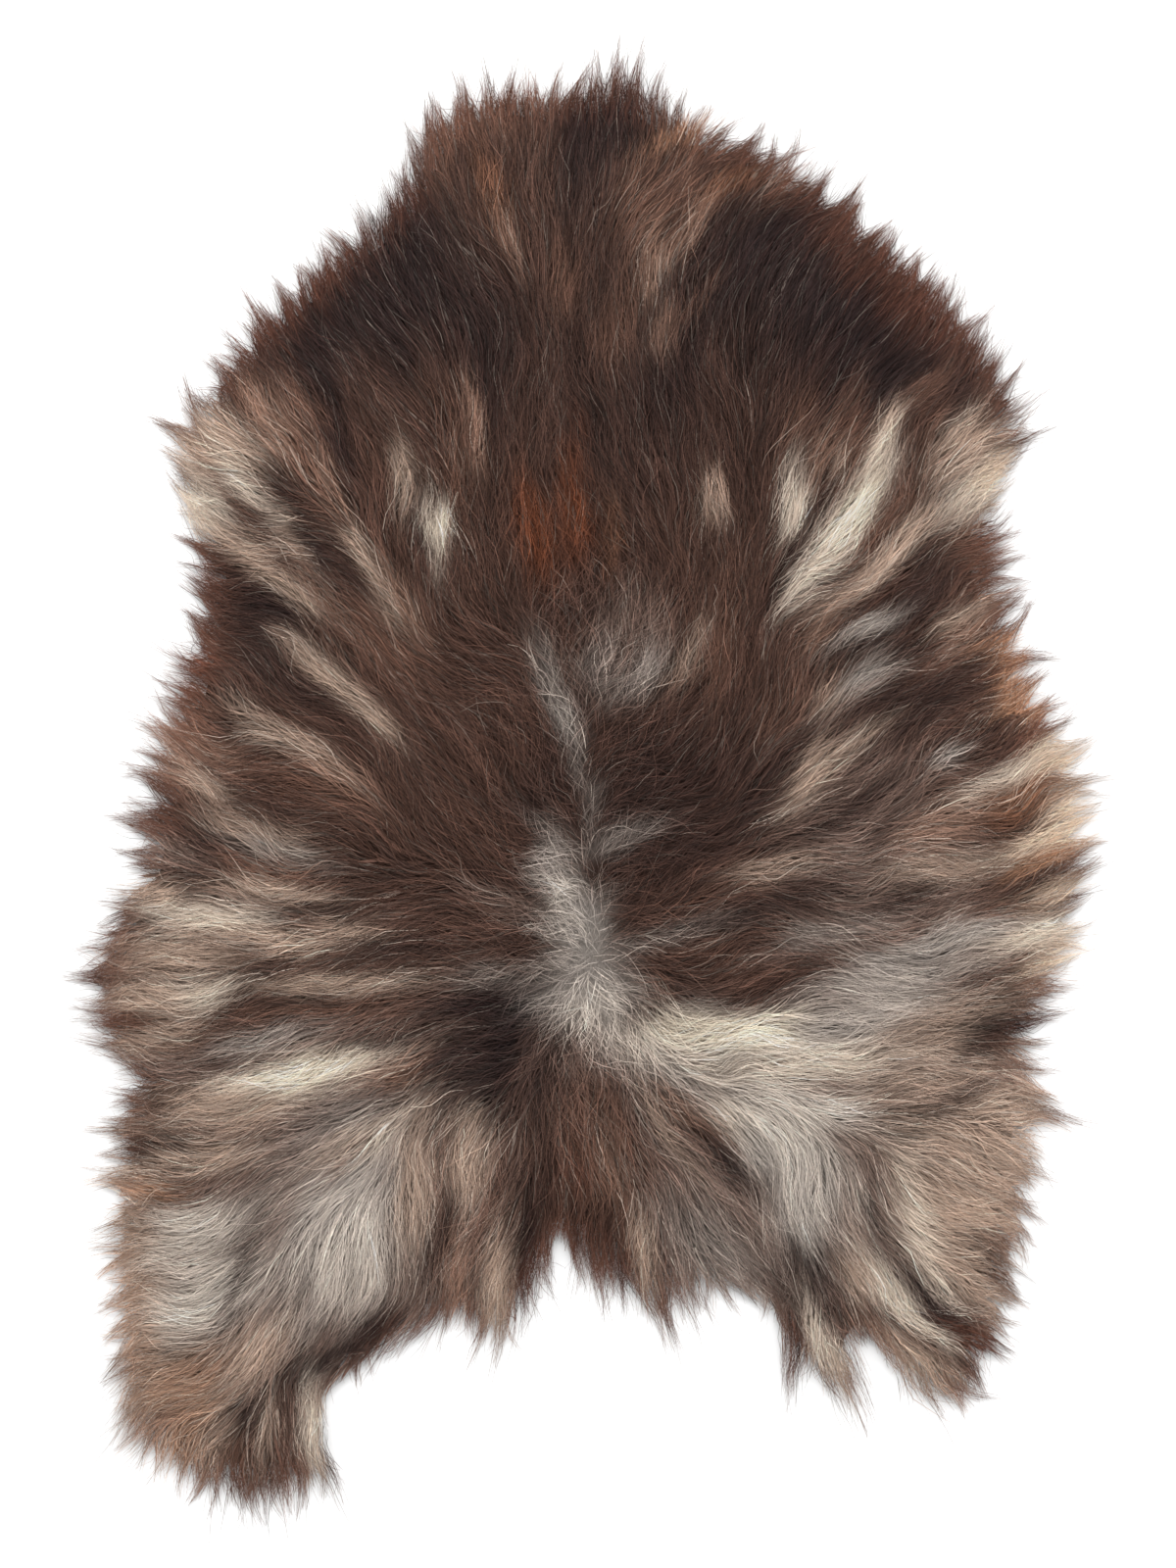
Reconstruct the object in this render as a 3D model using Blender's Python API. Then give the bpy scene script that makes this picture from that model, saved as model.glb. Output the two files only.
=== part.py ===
# Icelandic sheepskin lying flat with its wool up: the tanned hide, and the fleece that grows on it.
# Metres, +Z up, +Y towards the neck. The origin is on the floor, under the middle of the whole fleece.

import math
import random
from collections import namedtuple

import bmesh
import bpy
from mathutils import Matrix, Vector, noise
from mathutils.geometry import delaunay_2d_cdt, intersect_point_line

MM = 0.001

# Driving dimensions
HIDE_THICKNESS = 2.0 * MM
HIDE_STEPS = 132  # corners round the cut edge of the hide
HIDE_CLEARANCE = 0.3 * MM  # between the hide's top and the wool over it
POCKET_MARGIN = 1.0 * MM  # between the hide's cut edge and the wool round it

WOOL_AT_RIM = 13.0 * MM  # thickness where the rim locks begin
WOOL_LOFT = 43.0 * MM  # thickness well inside the rim
LOFT_DISTANCE = 42.0 * MM  # how quickly the wool rises from the rim
GRAIN_HEIGHT = 2.4 * MM  # small lumps between the large ones
GRAIN_SIZE = 38.0 * MM
LATTICE = 22.0 * MM  # spacing of the wool surface's points
RIM_MARGIN = 9.0 * MM  # the lattice stays this far inside the rim

LOCK_COUNT = 212
LOCK_SEED = 7
LOCK_WIDTH_SPREAD = 0.42  # a lock is this share wider or narrower than the mean
LOCK_LENGTH_LEAST = 0.76
LOCK_LENGTH_MOST = 1.14
LOCK_SWAY = 16.0  # degrees either side of the rim's own heading
LOCK_CURL = 18.0  # degrees that a lock bends towards its tip
SWAY_LOCKS = 7.0  # locks from one sway to the next, so that neighbours lean alike
LOCK_LEAN_MOST = 50.0  # degrees between a lock and straight out of the rim
LOCK_CROWDING = 0.7  # locks that lean together stop at this share of the way to where they would meet
HEADING_BLEND = 2  # neighbours on each side that a lock's heading is averaged with

RimRow = namedtuple("RimRow", "place x y reach heading")
HideRow = namedtuple("HideRow", "place x y")
LumpRow = namedtuple("LumpRow", "place x y heading length width rise")
LockStage = namedtuple("LockStage", "along width height")

# The dense edge of the wool, clockwise from the neck, in millimetres. reach is how far the locks
# stand past it, and heading the way that their tips point, in degrees from +X towards +Y.
RIM = [
    RimRow("neck crest", 20, 498, 54, 88),
    RimRow("neck right", 58, 483, 30, 68),
    RimRow("neck corner right", 98, 464, 27, 46),
    RimRow("right nape", 142, 443, 28, 56),
    RimRow("right shoulder top", 180, 416, 27, 50),
    RimRow("right shoulder", 218, 385, 21, 57),
    RimRow("right shoulder side", 256, 345, 26, 54),
    RimRow("right fore top", 288, 305, 26, 52),
    RimRow("right fore tip", 303, 266, 32, 38),
    RimRow("right armpit", 294, 214, 19, 24),
    RimRow("right armpit low", 285, 168, 33, 18),
    RimRow("right rib top", 297, 120, 29, 20),
    RimRow("right rib", 312, 72, 28, 25),
    RimRow("right rib swell", 334, 24, 38, 16),
    RimRow("right belly", 346, -28, 33, 12),
    RimRow("right belly low", 348, -74, 30, 8),
    RimRow("right flank", 338, -118, 28, 8),
    RimRow("right flank dark", 321, -166, 29, -4),
    RimRow("right flank notch", 306, -202, 29, -9),
    RimRow("right thigh top", 318, -242, 36, -12),
    RimRow("right thigh", 312, -288, 27, -34),
    RimRow("right shank", 304, -345, 20, -34),
    RimRow("right heel", 294, -394, 19, -38),
    RimRow("right toe", 272, -438, 30, -52),
    RimRow("right foot inner", 240, -430, 38, -66),
    RimRow("right foot notch", 209, -414, 28, -72),
    RimRow("pale hanging lock", 179, -411, 72, -68),
    RimRow("dark hanging lock", 150, -402, 62, -88),
    RimRow("right inner thigh", 116, -378, 20, -72),
    RimRow("right rump", 80, -364, 40, -68),
    RimRow("right of the tail", 44, -362, 54, -70),
    RimRow("tail", 10, -348, 36, -84),
    RimRow("tail notch", -22, -341, 40, -88),
    RimRow("left of the tail", -48, -360, 32, -90),
    RimRow("left rump lock", -70, -390, 37, -90),
    RimRow("left rump", -102, -380, 27, -98),
    RimRow("left inner thigh", -137, -409, 30, -112),
    RimRow("left thigh hem", -176, -428, 14, -100),
    RimRow("left foot crook", -201, -456, 7, -68),
    RimRow("left foot inner", -206, -494, 43, -72),
    RimRow("left foot", -242, -509, 34, -91),
    RimRow("left toe", -286, -499, 31, -108),
    RimRow("left foot outer", -321, -474, 34, -134),
    RimRow("left shank", -334, -428, 23, -152),
    RimRow("left thigh low", -334, -380, 22, -166),
    RimRow("left thigh", -338, -335, 29, 184),
    RimRow("left thigh top", -335, -262, 27, 180),
    RimRow("left flank notch", -326, -210, 36, 168),
    RimRow("left flank dark", -345, -172, 33, 170),
    RimRow("left flank", -349, -128, 29, 178),
    RimRow("left belly", -328, -82, 25, 176),
    RimRow("left belly top", -318, -34, 31, 165),
    RimRow("left rib", -307, 14, 31, 156),
    RimRow("left rib top", -292, 64, 31, 144),
    RimRow("left armpit", -272, 138, 28, 141),
    RimRow("left armpit top", -281, 190, 22, 132),
    RimRow("left fore tip", -287, 248, 39, 146),
    RimRow("left fore top", -260, 296, 25, 134),
    RimRow("left shoulder", -228, 338, 25, 124),
    RimRow("left shoulder top", -186, 374, 24, 118),
    RimRow("left nape", -134, 424, 29, 116),
    RimRow("neck corner left", -112, 474, 28, 102),
    RimRow("neck left", -72, 494, 29, 92),
    RimRow("neck crown", -24, 494, 27, 90),
]

# The cut edge of the hide, clockwise from the neck, in millimetres
HIDE = [
    HideRow("neck", 5, 452),
    HideRow("neck right", 78, 424),
    HideRow("right shoulder", 188, 348),
    HideRow("right fore leg", 262, 262),
    HideRow("right armpit", 244, 176),
    HideRow("right rib", 264, 96),
    HideRow("right belly", 302, -30),
    HideRow("right flank", 280, -158),
    HideRow("right thigh", 280, -262),
    HideRow("right shank", 268, -348),
    HideRow("right foot", 240, -402),
    HideRow("right inner thigh", 160, -364),
    HideRow("right rump", 82, -328),
    HideRow("tail", 2, -306),
    HideRow("left rump", -72, -334),
    HideRow("left inner thigh", -150, -378),
    HideRow("left foot inner", -212, -420),
    HideRow("left foot", -262, -462),
    HideRow("left shank", -298, -408),
    HideRow("left thigh", -298, -296),
    HideRow("left flank", -288, -184),
    HideRow("left belly", -290, -92),
    HideRow("left rib", -262, 22),
    HideRow("left armpit", -236, 132),
    HideRow("left fore leg", -250, 232),
    HideRow("left shoulder", -184, 330),
    HideRow("neck left", -86, 436),
]

# The large lumps and hollows of the wool, in millimetres and degrees. length and width are half sizes.
LUMPS = [
    LumpRow("parting along the spine", -8, 20, 90, 150, 20, -9),
    LumpRow("whorl over the loins", 4, -160, 90, 60, 48, -8),
    LumpRow("left shoulder", -150, 325, 120, 110, 62, 8),
    LumpRow("right shoulder", 165, 335, 58, 110, 66, 8),
    LumpRow("neck crown", 5, 430, 90, 80, 42, 5),
    LumpRow("neck hollow right", 50, 372, 74, 52, 13, -7),
    LumpRow("neck hollow left", -62, 438, 112, 46, 12, -6),
    LumpRow("withers", 12, 270, 90, 110, 42, 4),
    LumpRow("left pale pocket", -118, 196, 102, 40, 13, -9),
    LumpRow("left fore wave", -232, 238, 132, 62, 15, 5),
    LumpRow("left fore trough", -222, 192, 128, 58, 12, -6),
    LumpRow("left armpit tuft", -244, 150, 140, 44, 20, 6),
    LumpRow("left rib wave", -215, 92, 144, 80, 15, 4),
    LumpRow("left rib trough", -178, 62, 146, 72, 13, -5),
    LumpRow("left belly wave", -245, 18, 152, 78, 17, 5),
    LumpRow("left belly trough", -215, -62, 164, 80, 14, -5),
    LumpRow("left flank wave", -215, -132, 178, 90, 15, 6),
    LumpRow("left flank trough", -225, -160, 184, 80, 12, -6),
    LumpRow("left loin wave", -232, -214, 190, 92, 18, 6),
    LumpRow("left thigh dome", -178, -318, 258, 92, 58, 11),
    LumpRow("left thigh trough", -262, -330, 246, 84, 13, -7),
    LumpRow("left foot swell", -292, -400, 228, 70, 34, 6),
    LumpRow("right pale pocket", 178, 182, 60, 48, 18, -9),
    LumpRow("right small pocket", 148, 212, 84, 30, 12, -7),
    LumpRow("right fore wave", 252, 206, 42, 56, 15, 5),
    LumpRow("right armpit tuft", 252, 142, 34, 60, 18, 6),
    LumpRow("right rib wave", 232, 62, 32, 84, 20, 5),
    LumpRow("right rib trough", 168, 10, 38, 62, 14, -6),
    LumpRow("right belly wave", 262, -42, 14, 84, 22, 5),
    LumpRow("right flank wave", 190, -122, 12, 100, 18, 5),
    LumpRow("pale band", 118, -186, -2, 92, 19, 7),
    LumpRow("right loin trough", 120, -228, 2, 80, 10, -5),
    LumpRow("right thigh dome", 168, -288, -62, 84, 46, 11),
    LumpRow("right thigh crease", 106, -284, -50, 42, 10, -10),
    LumpRow("right foot dome", 262, -328, -58, 72, 34, 9),
    LumpRow("right foot crease", 226, -372, -62, 52, 10, -7),
    LumpRow("rump", 8, -285, -88, 62, 48, 6),
    LumpRow("left rump crease", -98, -312, -96, 44, 11, -6),
]

# Cross-sections of a rim lock, from root to tip. width and height are shares of those at its root.
LOCK_STAGES = [
    LockStage(0.36, 0.88, 0.80),
    LockStage(0.72, 0.64, 0.46),
    LockStage(1.00, 0.16, 0.12),
]


def clearScene():
    for item in list(bpy.data.objects):
        bpy.data.objects.remove(item)


def woolMaterial(name, colour, roughness):
    material = bpy.data.materials.new(name)
    material.use_nodes = True
    surface = material.node_tree.nodes["Principled BSDF"]
    surface.inputs["Base Color"].default_value = (*colour, 1.0)
    surface.inputs["Roughness"].default_value = roughness
    surface.inputs["Metallic"].default_value = 0.0
    return material


def addObject(name, mesh, material):
    made = bpy.data.objects.new(name, mesh)
    made.data.materials.append(material)
    bpy.context.scene.collection.objects.link(made)
    return made


def closedCurve(corners, stepsPerSpan):
    """Points of a smooth closed curve through the corners, each of which may have any number of values."""
    points = []
    count = len(corners)
    for i in range(count):
        before, here, after, beyond = (corners[(i + k) % count] for k in (-1, 0, 1, 2))
        for step in range(stepsPerSpan):
            t = step / stepsPerSpan
            weights = (
                -0.5 * t + t**2 - 0.5 * t**3,
                1 - 2.5 * t**2 + 1.5 * t**3,
                0.5 * t + 2 * t**2 - 1.5 * t**3,
                -0.5 * t**2 + 0.5 * t**3,
            )
            rows = (before, here, after, beyond)
            points.append([sum(w * v for w, v in zip(weights, values)) for values in zip(*rows)])
    return points


def spacedAlong(points, shares):
    """The closed curve's values at each share of its length."""
    closed = points + [points[0]]
    lengths = [0.0]
    for a, b in zip(closed, closed[1:]):
        lengths.append(lengths[-1] + math.dist(a[:2], b[:2]))
    found = []
    span = 0
    for share in shares:
        wanted = share * lengths[-1]
        while lengths[span + 1] < wanted:
            span += 1
        t = (wanted - lengths[span]) / (lengths[span + 1] - lengths[span])
        found.append([a + t * (b - a) for a, b in zip(closed[span], closed[span + 1])])
    return found


def outwardNormals(ring):
    """Unit normals out of a clockwise ring of points."""
    normals = []
    for i in range(len(ring)):
        along = ring[(i + 1) % len(ring)] - ring[i - 1]
        normals.append(Vector((-along.y, along.x)).normalized())
    return normals


def insideRing(point, ring):
    crossings = 0
    for a, b in zip(ring, ring[1:] + ring[:1]):
        if (a.y > point.y) != (b.y > point.y):
            crossings += point.x < a.x + (point.y - a.y) * (b.x - a.x) / (b.y - a.y)
    return crossings % 2 == 1


def distanceToRing(point, ring):
    least = math.inf
    for a, b in zip(ring, ring[1:] + ring[:1]):
        nearest, share = intersect_point_line(point, a, b)
        nearest = a if share < 0 else b if share > 1 else nearest
        least = min(least, (point - nearest).length)
    return least


def hideRing():
    corners = [(row.x * MM, row.y * MM) for row in HIDE]
    shares = [i / HIDE_STEPS for i in range(HIDE_STEPS)]
    return [Vector(p) for p in spacedAlong(closedCurve(corners, 12), shares)]


def rimSamples(rng):
    """Where each rim lock begins, with its reach and heading. Its width runs to the next one."""
    corners = []
    for row in RIM:
        angle = math.radians(row.heading)
        corners.append((row.x * MM, row.y * MM, row.reach * MM, math.cos(angle), math.sin(angle)))
    widths = [1 + LOCK_WIDTH_SPREAD * rng.uniform(-1, 1) for _ in range(LOCK_COUNT)]
    shares = [sum(widths[:i]) / sum(widths) for i in range(LOCK_COUNT)]
    return spacedAlong(closedCurve(corners, 14), shares)


def woolHeight(point, rim):
    """Thickness of the wool at a point inside the rim, with its lumps and hollows."""
    depth = distanceToRing(point, rim)
    risen = 1 - math.exp(-depth / LOFT_DISTANCE)
    height = WOOL_AT_RIM + (WOOL_LOFT - WOOL_AT_RIM) * risen
    for row in LUMPS:
        away = point - Vector((row.x, row.y)) * MM
        angle = math.radians(row.heading)
        along = (away.x * math.cos(angle) + away.y * math.sin(angle)) / (row.length * MM)
        across = (away.y * math.cos(angle) - away.x * math.sin(angle)) / (row.width * MM)
        height += row.rise * MM * math.exp(-(along**2) - across**2) * risen
    return height + GRAIN_HEIGHT * noise.noise(Vector((point.x, point.y, 0)) / GRAIN_SIZE) * risen


def latticeInside(rim):
    points = []
    rowGap = LATTICE * math.sqrt(3) / 2
    lowest, highest = min(p.y for p in rim), max(p.y for p in rim)
    leftmost, rightmost = min(p.x for p in rim), max(p.x for p in rim)
    for row in range(int((highest - lowest) / rowGap) + 1):
        shift = LATTICE / 2 * (row % 2)
        for column in range(int((rightmost - leftmost) / LATTICE) + 1):
            point = Vector((leftmost + shift + column * LATTICE, lowest + row * rowGap))
            if insideRing(point, rim) and distanceToRing(point, rim) > RIM_MARGIN:
                points.append(point)
    return points


def swayOf(place, degrees):
    """A slow swing from one lock to the next."""
    return degrees * noise.noise(Vector((place / SWAY_LOCKS, degrees, 0)))


def lockHeading(sample, normal, sway):
    """The way a lock leaves the rim: the wool's own heading, nearer to straight out where it leans too far."""
    heading = Vector(sample[3:5]).normalized()
    heading.rotate(rotation(sway))
    lean = math.degrees(math.atan2(normal.cross(heading), normal.dot(heading)))
    heading = normal.copy()
    heading.rotate(rotation(max(-LOCK_LEAN_MOST, min(LOCK_LEAN_MOST, lean))))
    return heading


def lockHeadings(samples, rim):
    """Every lock's heading, blended with its neighbours'."""
    count = len(rim)
    normals = outwardNormals(rim)
    single = []
    for i, sample in enumerate(samples):
        normal = (normals[i] + normals[(i + 1) % count]).normalized()
        single.append(lockHeading(sample, normal, swayOf(i, LOCK_SWAY)))
    blended = []
    for i in range(count):
        near = [single[(i + k) % count] for k in range(-HEADING_BLEND, HEADING_BLEND + 1)]
        blended.append(sum(near, Vector((0, 0))).normalized())
    return blended


def meetingDistance(i, j, headings, roots):
    """How far out lock i and the next lock clockwise, j, would meet. Locks that lean apart never do."""
    closing = math.atan2(headings[i].cross(headings[j]), headings[i].dot(headings[j]))
    if closing <= 0:
        return math.inf
    return abs((roots[j] - roots[i]).cross(headings[i])) / closing


def rotation(degrees):
    return Matrix.Rotation(math.radians(degrees), 2)


def growLock(bm, face, heading, length, curl):
    """Draws a face of the rim wall out into a four-sided lock that narrows, sinks to the floor and lies level on it."""
    corners = [v.co.copy() for v in face.verts]
    middle = sum((c.xy for c in corners), Vector((0, 0))) / len(corners)
    for stage in LOCK_STAGES:
        grown = bmesh.ops.extrude_discrete_faces(bm, faces=[face])["faces"][0]
        turned = heading.copy()
        turned.rotate(rotation(curl * stage.along))
        centre = middle + turned * length * stage.along
        for vert, corner in zip(grown.verts, corners):
            vert.co.xy = centre + (corner.xy - middle) * stage.width
            vert.co.z = corner.z * stage.height
        face = grown


def buildFleece(material):
    rng = random.Random(LOCK_SEED)
    samples = rimSamples(rng)
    rim = [Vector(sample[:2]) for sample in samples]
    count = len(rim)
    bm = bmesh.new()

    # Upper surface: the rim's own points and a lattice inside them
    inside = latticeInside(rim)
    loop = list(reversed(range(count)))
    points, _, faces, _, _, _ = delaunay_2d_cdt(rim + inside, [], [loop], 1, 1e-6)
    top = []
    for i, point in enumerate(points):
        height = WOOL_AT_RIM if i < count else woolHeight(point, rim)
        top.append(bm.verts.new((point.x, point.y, height)))
    for face in faces:
        bm.faces.new([top[i] for i in face])

    # Underside: level on the floor round the hide, with a shallow pocket that the hide lies in
    hide = hideRing()
    pocket = [p + n * POCKET_MARGIN for p, n in zip(hide, outwardNormals(hide))]
    inner = list(reversed(range(count, count + len(pocket))))
    points, _, faces, _, _, sources = delaunay_2d_cdt(rim + pocket, [], [loop, inner], 1, 1e-6)
    floor = [bm.verts.new((p.x, p.y, 0)) for p in points]
    for face, source in zip(faces, sources):
        if source == [0]:
            bm.faces.new([floor[i] for i in reversed(face)])
    ceiling = bm.faces.new([floor[i] for i in inner])
    raised = bmesh.ops.extrude_face_region(bm, geom=[ceiling])["geom"]
    bmesh.ops.delete(bm, geom=[ceiling], context="FACES_ONLY")
    lifted = [v for v in raised if isinstance(v, bmesh.types.BMVert)]
    bmesh.ops.translate(bm, vec=(0, 0, HIDE_THICKNESS + HIDE_CLEARANCE), verts=lifted)

    # Rim wall, one face for each lock, then the locks themselves
    wall = []
    for i in range(count):
        j = (i + 1) % count
        wall.append(bm.faces.new((top[i], top[j], floor[j], floor[i])))
    headings = lockHeadings(samples, rim)
    roots = [(rim[i] + rim[(i + 1) % count]) / 2 for i in range(count)]
    for i, face in enumerate(wall):
        length = samples[i][2] * rng.uniform(LOCK_LENGTH_LEAST, LOCK_LENGTH_MOST)
        for a, b in ((i - 1, i), (i, (i + 1) % count)):
            length = min(length, LOCK_CROWDING * meetingDistance(a, b, headings, roots))
        growLock(bm, face, headings[i], length, swayOf(i, LOCK_CURL))

    bmesh.ops.recalc_face_normals(bm, faces=bm.faces)
    mesh = bpy.data.meshes.new("fleece")
    bm.to_mesh(mesh)
    bm.free()
    return addObject("fleece", mesh, material)


def buildHide(material):
    bm = bmesh.new()
    cut = bm.faces.new([bm.verts.new((p.x, p.y, 0)) for p in hideRing()])
    raised = bmesh.ops.extrude_face_region(bm, geom=[cut])["geom"]
    lifted = [v for v in raised if isinstance(v, bmesh.types.BMVert)]
    bmesh.ops.translate(bm, vec=(0, 0, HIDE_THICKNESS), verts=lifted)
    bmesh.ops.recalc_face_normals(bm, faces=bm.faces)
    mesh = bpy.data.meshes.new("hide")
    bm.to_mesh(mesh)
    bm.free()
    return addObject("hide", mesh, material)


def centreOnFootprint(fleece, hide):
    """Puts the origin under the middle of the fleece."""
    xs = [v.co.x for v in fleece.data.vertices]
    ys = [v.co.y for v in fleece.data.vertices]
    for item in (fleece, hide):
        item.location = (-(min(xs) + max(xs)) / 2, -(min(ys) + max(ys)) / 2, 0)


clearScene()
fleece = buildFleece(woolMaterial("brown_grey_wool", (0.16, 0.12, 0.10), 0.75))
hide = buildHide(woolMaterial("tanned_hide", (0.70, 0.61, 0.49), 0.85))
centreOnFootprint(fleece, hide)
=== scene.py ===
import math

import bmesh
import bpy
import numpy as np
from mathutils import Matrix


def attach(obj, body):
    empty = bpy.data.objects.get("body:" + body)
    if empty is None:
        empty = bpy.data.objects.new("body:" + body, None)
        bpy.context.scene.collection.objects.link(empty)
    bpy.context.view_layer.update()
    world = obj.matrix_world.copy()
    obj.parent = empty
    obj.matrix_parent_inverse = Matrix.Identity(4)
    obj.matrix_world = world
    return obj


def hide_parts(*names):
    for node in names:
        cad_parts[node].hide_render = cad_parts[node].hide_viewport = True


# An icelandic sheepskin lying flat, wool side up. Tables are in millimetres, seen from above,
# with +X to the right and +Y to the neck; angles are degrees from +X towards +Y.

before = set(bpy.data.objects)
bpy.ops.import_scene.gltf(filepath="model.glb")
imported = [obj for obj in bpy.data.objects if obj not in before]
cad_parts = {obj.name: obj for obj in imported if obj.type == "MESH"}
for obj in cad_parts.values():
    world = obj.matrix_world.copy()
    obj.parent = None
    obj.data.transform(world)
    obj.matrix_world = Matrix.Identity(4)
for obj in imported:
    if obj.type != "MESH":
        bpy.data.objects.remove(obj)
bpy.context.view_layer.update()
mm = 0.001


# Small tools


def rowsOf(text, names):
    # A table written as lines of text: one column of words, then numbers
    rows = []
    for line in text.strip().splitlines():
        words = line.split()
        count = len(names) - 1
        rows.append((" ".join(words[:-count]),) + tuple(float(w) for w in words[-count:]))
    return {name: np.array(column) for name, column in zip(names, zip(*rows))}


def linear(colour):
    c = np.asarray(colour, dtype=float) / 255
    return np.where(c <= 0.04045, c / 12.92, ((c + 0.055) / 1.055) ** 2.4)


def eased(t):
    t = np.clip(t, 0, 1)
    return t * t * (3 - 2 * t)


ovalColumns = ("x", "y", "heading", "length", "width")


def eachRow(table, names):
    # The rows of a table one by one, with these of its columns
    return zip(*(table[name] for name in names))


def inOval(x, y, middleX, middleY, heading, length, width):
    # Where places lie in an oval, along it and across it, as shares of its half sizes
    angle = math.radians(heading)
    along = ((x - middleX) * math.cos(angle) + (y - middleY) * math.sin(angle)) / length
    aside = ((y - middleY) * math.cos(angle) - (x - middleX) * math.sin(angle)) / width
    return along, aside


def ovals(rows, x, y):
    # How near places are to the ovals of a table: 1 in the middle of one, 0 away from them
    nearness = np.zeros(np.shape(x))
    for oval in eachRow(rows, ovalColumns):
        along, aside = inOval(x, y, *oval)
        nearness = np.maximum(nearness, np.exp(-(along**2) - aside**2))
    return nearness


noiseCells = 64
noiseOrigin = (17.3, 41.7)


def softNoise(x, y, size, seed):
    # Smooth noise from -1 to 1 with lumps of this size
    lattice = np.random.default_rng(seed).uniform(-1, 1, (noiseCells, noiseCells))
    u = np.asarray(x) / size + noiseOrigin[0]
    v = np.asarray(y) / size + noiseOrigin[1]
    i = np.floor(u).astype(int)
    j = np.floor(v).astype(int)
    fu = eased(u - i)
    fv = eased(v - j)

    def corner(right, up):
        return lattice[(i + right) % noiseCells, (j + up) % noiseCells]

    low = corner(0, 0) * (1 - fu) + corner(1, 0) * fu
    high = corner(0, 1) * (1 - fu) + corner(1, 1) * fu
    return low * (1 - fv) + high * fv


# The skin's plan

# The dense edge of the wool, clockwise from the neck: how far its locks reach, and the way they point
rim = rowsOf("""
neckCrest 20 498 54 88
neckRight 58 483 30 68
neckCornerRight 98 464 27 46
rightNape 142 443 28 56
rightShoulderTop 180 416 27 50
rightShoulder 218 385 21 57
rightShoulderSide 256 345 26 54
rightForeTop 288 305 26 52
rightForeTip 303 266 32 38
rightArmpit 294 214 19 24
rightArmpitLow 285 168 33 18
rightRibTop 297 120 29 20
rightRib 312 72 28 25
rightRibSwell 334 24 38 16
rightBelly 346 -28 33 12
rightBellyLow 348 -74 30 8
rightFlank 338 -118 28 8
rightFlankDark 321 -166 29 -4
rightFlankNotch 306 -202 29 -9
rightThighTop 318 -242 36 -12
rightThigh 312 -288 27 -42
rightShank 304 -345 20 -46
rightHeel 294 -394 19 -46
rightToe 272 -438 30 -52
rightFootInner 240 -430 38 -66
rightFootNotch 206 -402 16 -62
paleLockOuter 190 -420 48 -64
paleHangingLock 176 -424 50 -66
darkHangingLock 151 -404 64 -88
rightInnerThighEnd 139 -386 15 -72
rightInnerThigh 116 -370 22 -60
rightRump 82 -355 44 -70
rightOfTheTail 50 -364 54 -68
tail 14 -341 40 -76
tailNotch -20 -321 42 -88
leftOfTheTail -46 -354 40 -90
leftRumpLock -68 -386 46 -88
leftRump -102 -380 30 -98
leftInnerThigh -137 -396 32 -114
leftThighHem -176 -428 14 -100
leftFootCrook -201 -456 7 -68
leftFootInner -204 -496 46 -74
leftFoot -242 -509 34 -91
leftToe -286 -499 31 -108
leftFootOuter -321 -474 34 -134
leftShank -334 -428 23 -152
leftThighLow -334 -380 22 -166
leftThigh -338 -335 29 184
leftThighTop -335 -262 27 180
leftFlankNotch -326 -210 36 168
leftFlankDark -345 -172 33 170
leftFlank -349 -128 29 178
leftBelly -328 -82 25 176
leftBellyTop -314 -34 33 162
leftRib -300 14 34 150
leftRibTop -288 64 33 141
leftArmpit -272 138 28 141
leftArmpitTop -281 190 22 132
leftForeTip -287 248 39 146
leftForeTop -260 296 25 134
leftShoulder -228 338 25 124
leftShoulderTop -186 374 24 118
leftNape -130 424 26 116
neckCornerLeft -108 474 25 102
neckLeft -72 494 29 92
neckCrown -24 494 27 90
""", ("name", "x", "y", "reach", "heading"))

# Lumps and hollows of the wool, the same as in the solid
lumps = rowsOf("""
partingAlongTheSpine -8 20 90 150 20 -9
whorlOverTheLoins 4 -160 90 60 48 -8
leftShoulder -150 325 120 110 62 8
rightShoulder 165 335 58 110 66 8
neckCrown 5 430 90 80 42 5
neckHollowRight 50 372 74 52 13 -7
neckHollowLeft -62 438 112 46 12 -6
withers 12 270 90 110 42 4
leftPalePocket -118 196 102 40 13 -9
leftForeWave -232 238 132 62 15 5
leftForeTrough -222 192 128 58 12 -6
leftArmpitTuft -244 150 140 44 20 6
leftRibWave -215 92 144 80 15 4
leftRibTrough -178 62 146 72 13 -5
leftBellyWave -245 18 152 78 17 5
leftBellyTrough -215 -62 164 80 14 -5
leftFlankWave -215 -132 178 90 15 6
leftFlankTrough -225 -160 184 80 12 -6
leftLoinWave -232 -214 190 92 18 6
leftThighDome -178 -318 258 92 58 11
leftThighTrough -262 -330 246 84 13 -7
leftFootSwell -292 -400 228 70 34 6
rightPalePocket 178 182 60 48 18 -9
rightSmallPocket 148 212 84 30 12 -7
rightForeWave 252 206 42 56 15 5
rightArmpitTuft 252 142 34 60 18 6
rightRibWave 232 62 32 84 20 5
rightRibTrough 168 10 38 62 14 -6
rightBellyWave 262 -42 14 84 22 5
rightFlankWave 190 -122 12 100 18 5
paleBand 118 -186 -2 92 19 7
rightLoinTrough 120 -228 2 80 10 -5
rightThighDome 168 -288 -62 84 46 11
rightThighCrease 106 -284 -50 42 10 -10
rightFootDome 262 -328 -58 72 34 9
rightFootCrease 226 -372 -62 52 10 -7
rump 8 -285 -88 62 48 6
leftRumpCrease -98 -312 -96 44 11 -6
""", ("name",) + ovalColumns + ("rise",))

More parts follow.
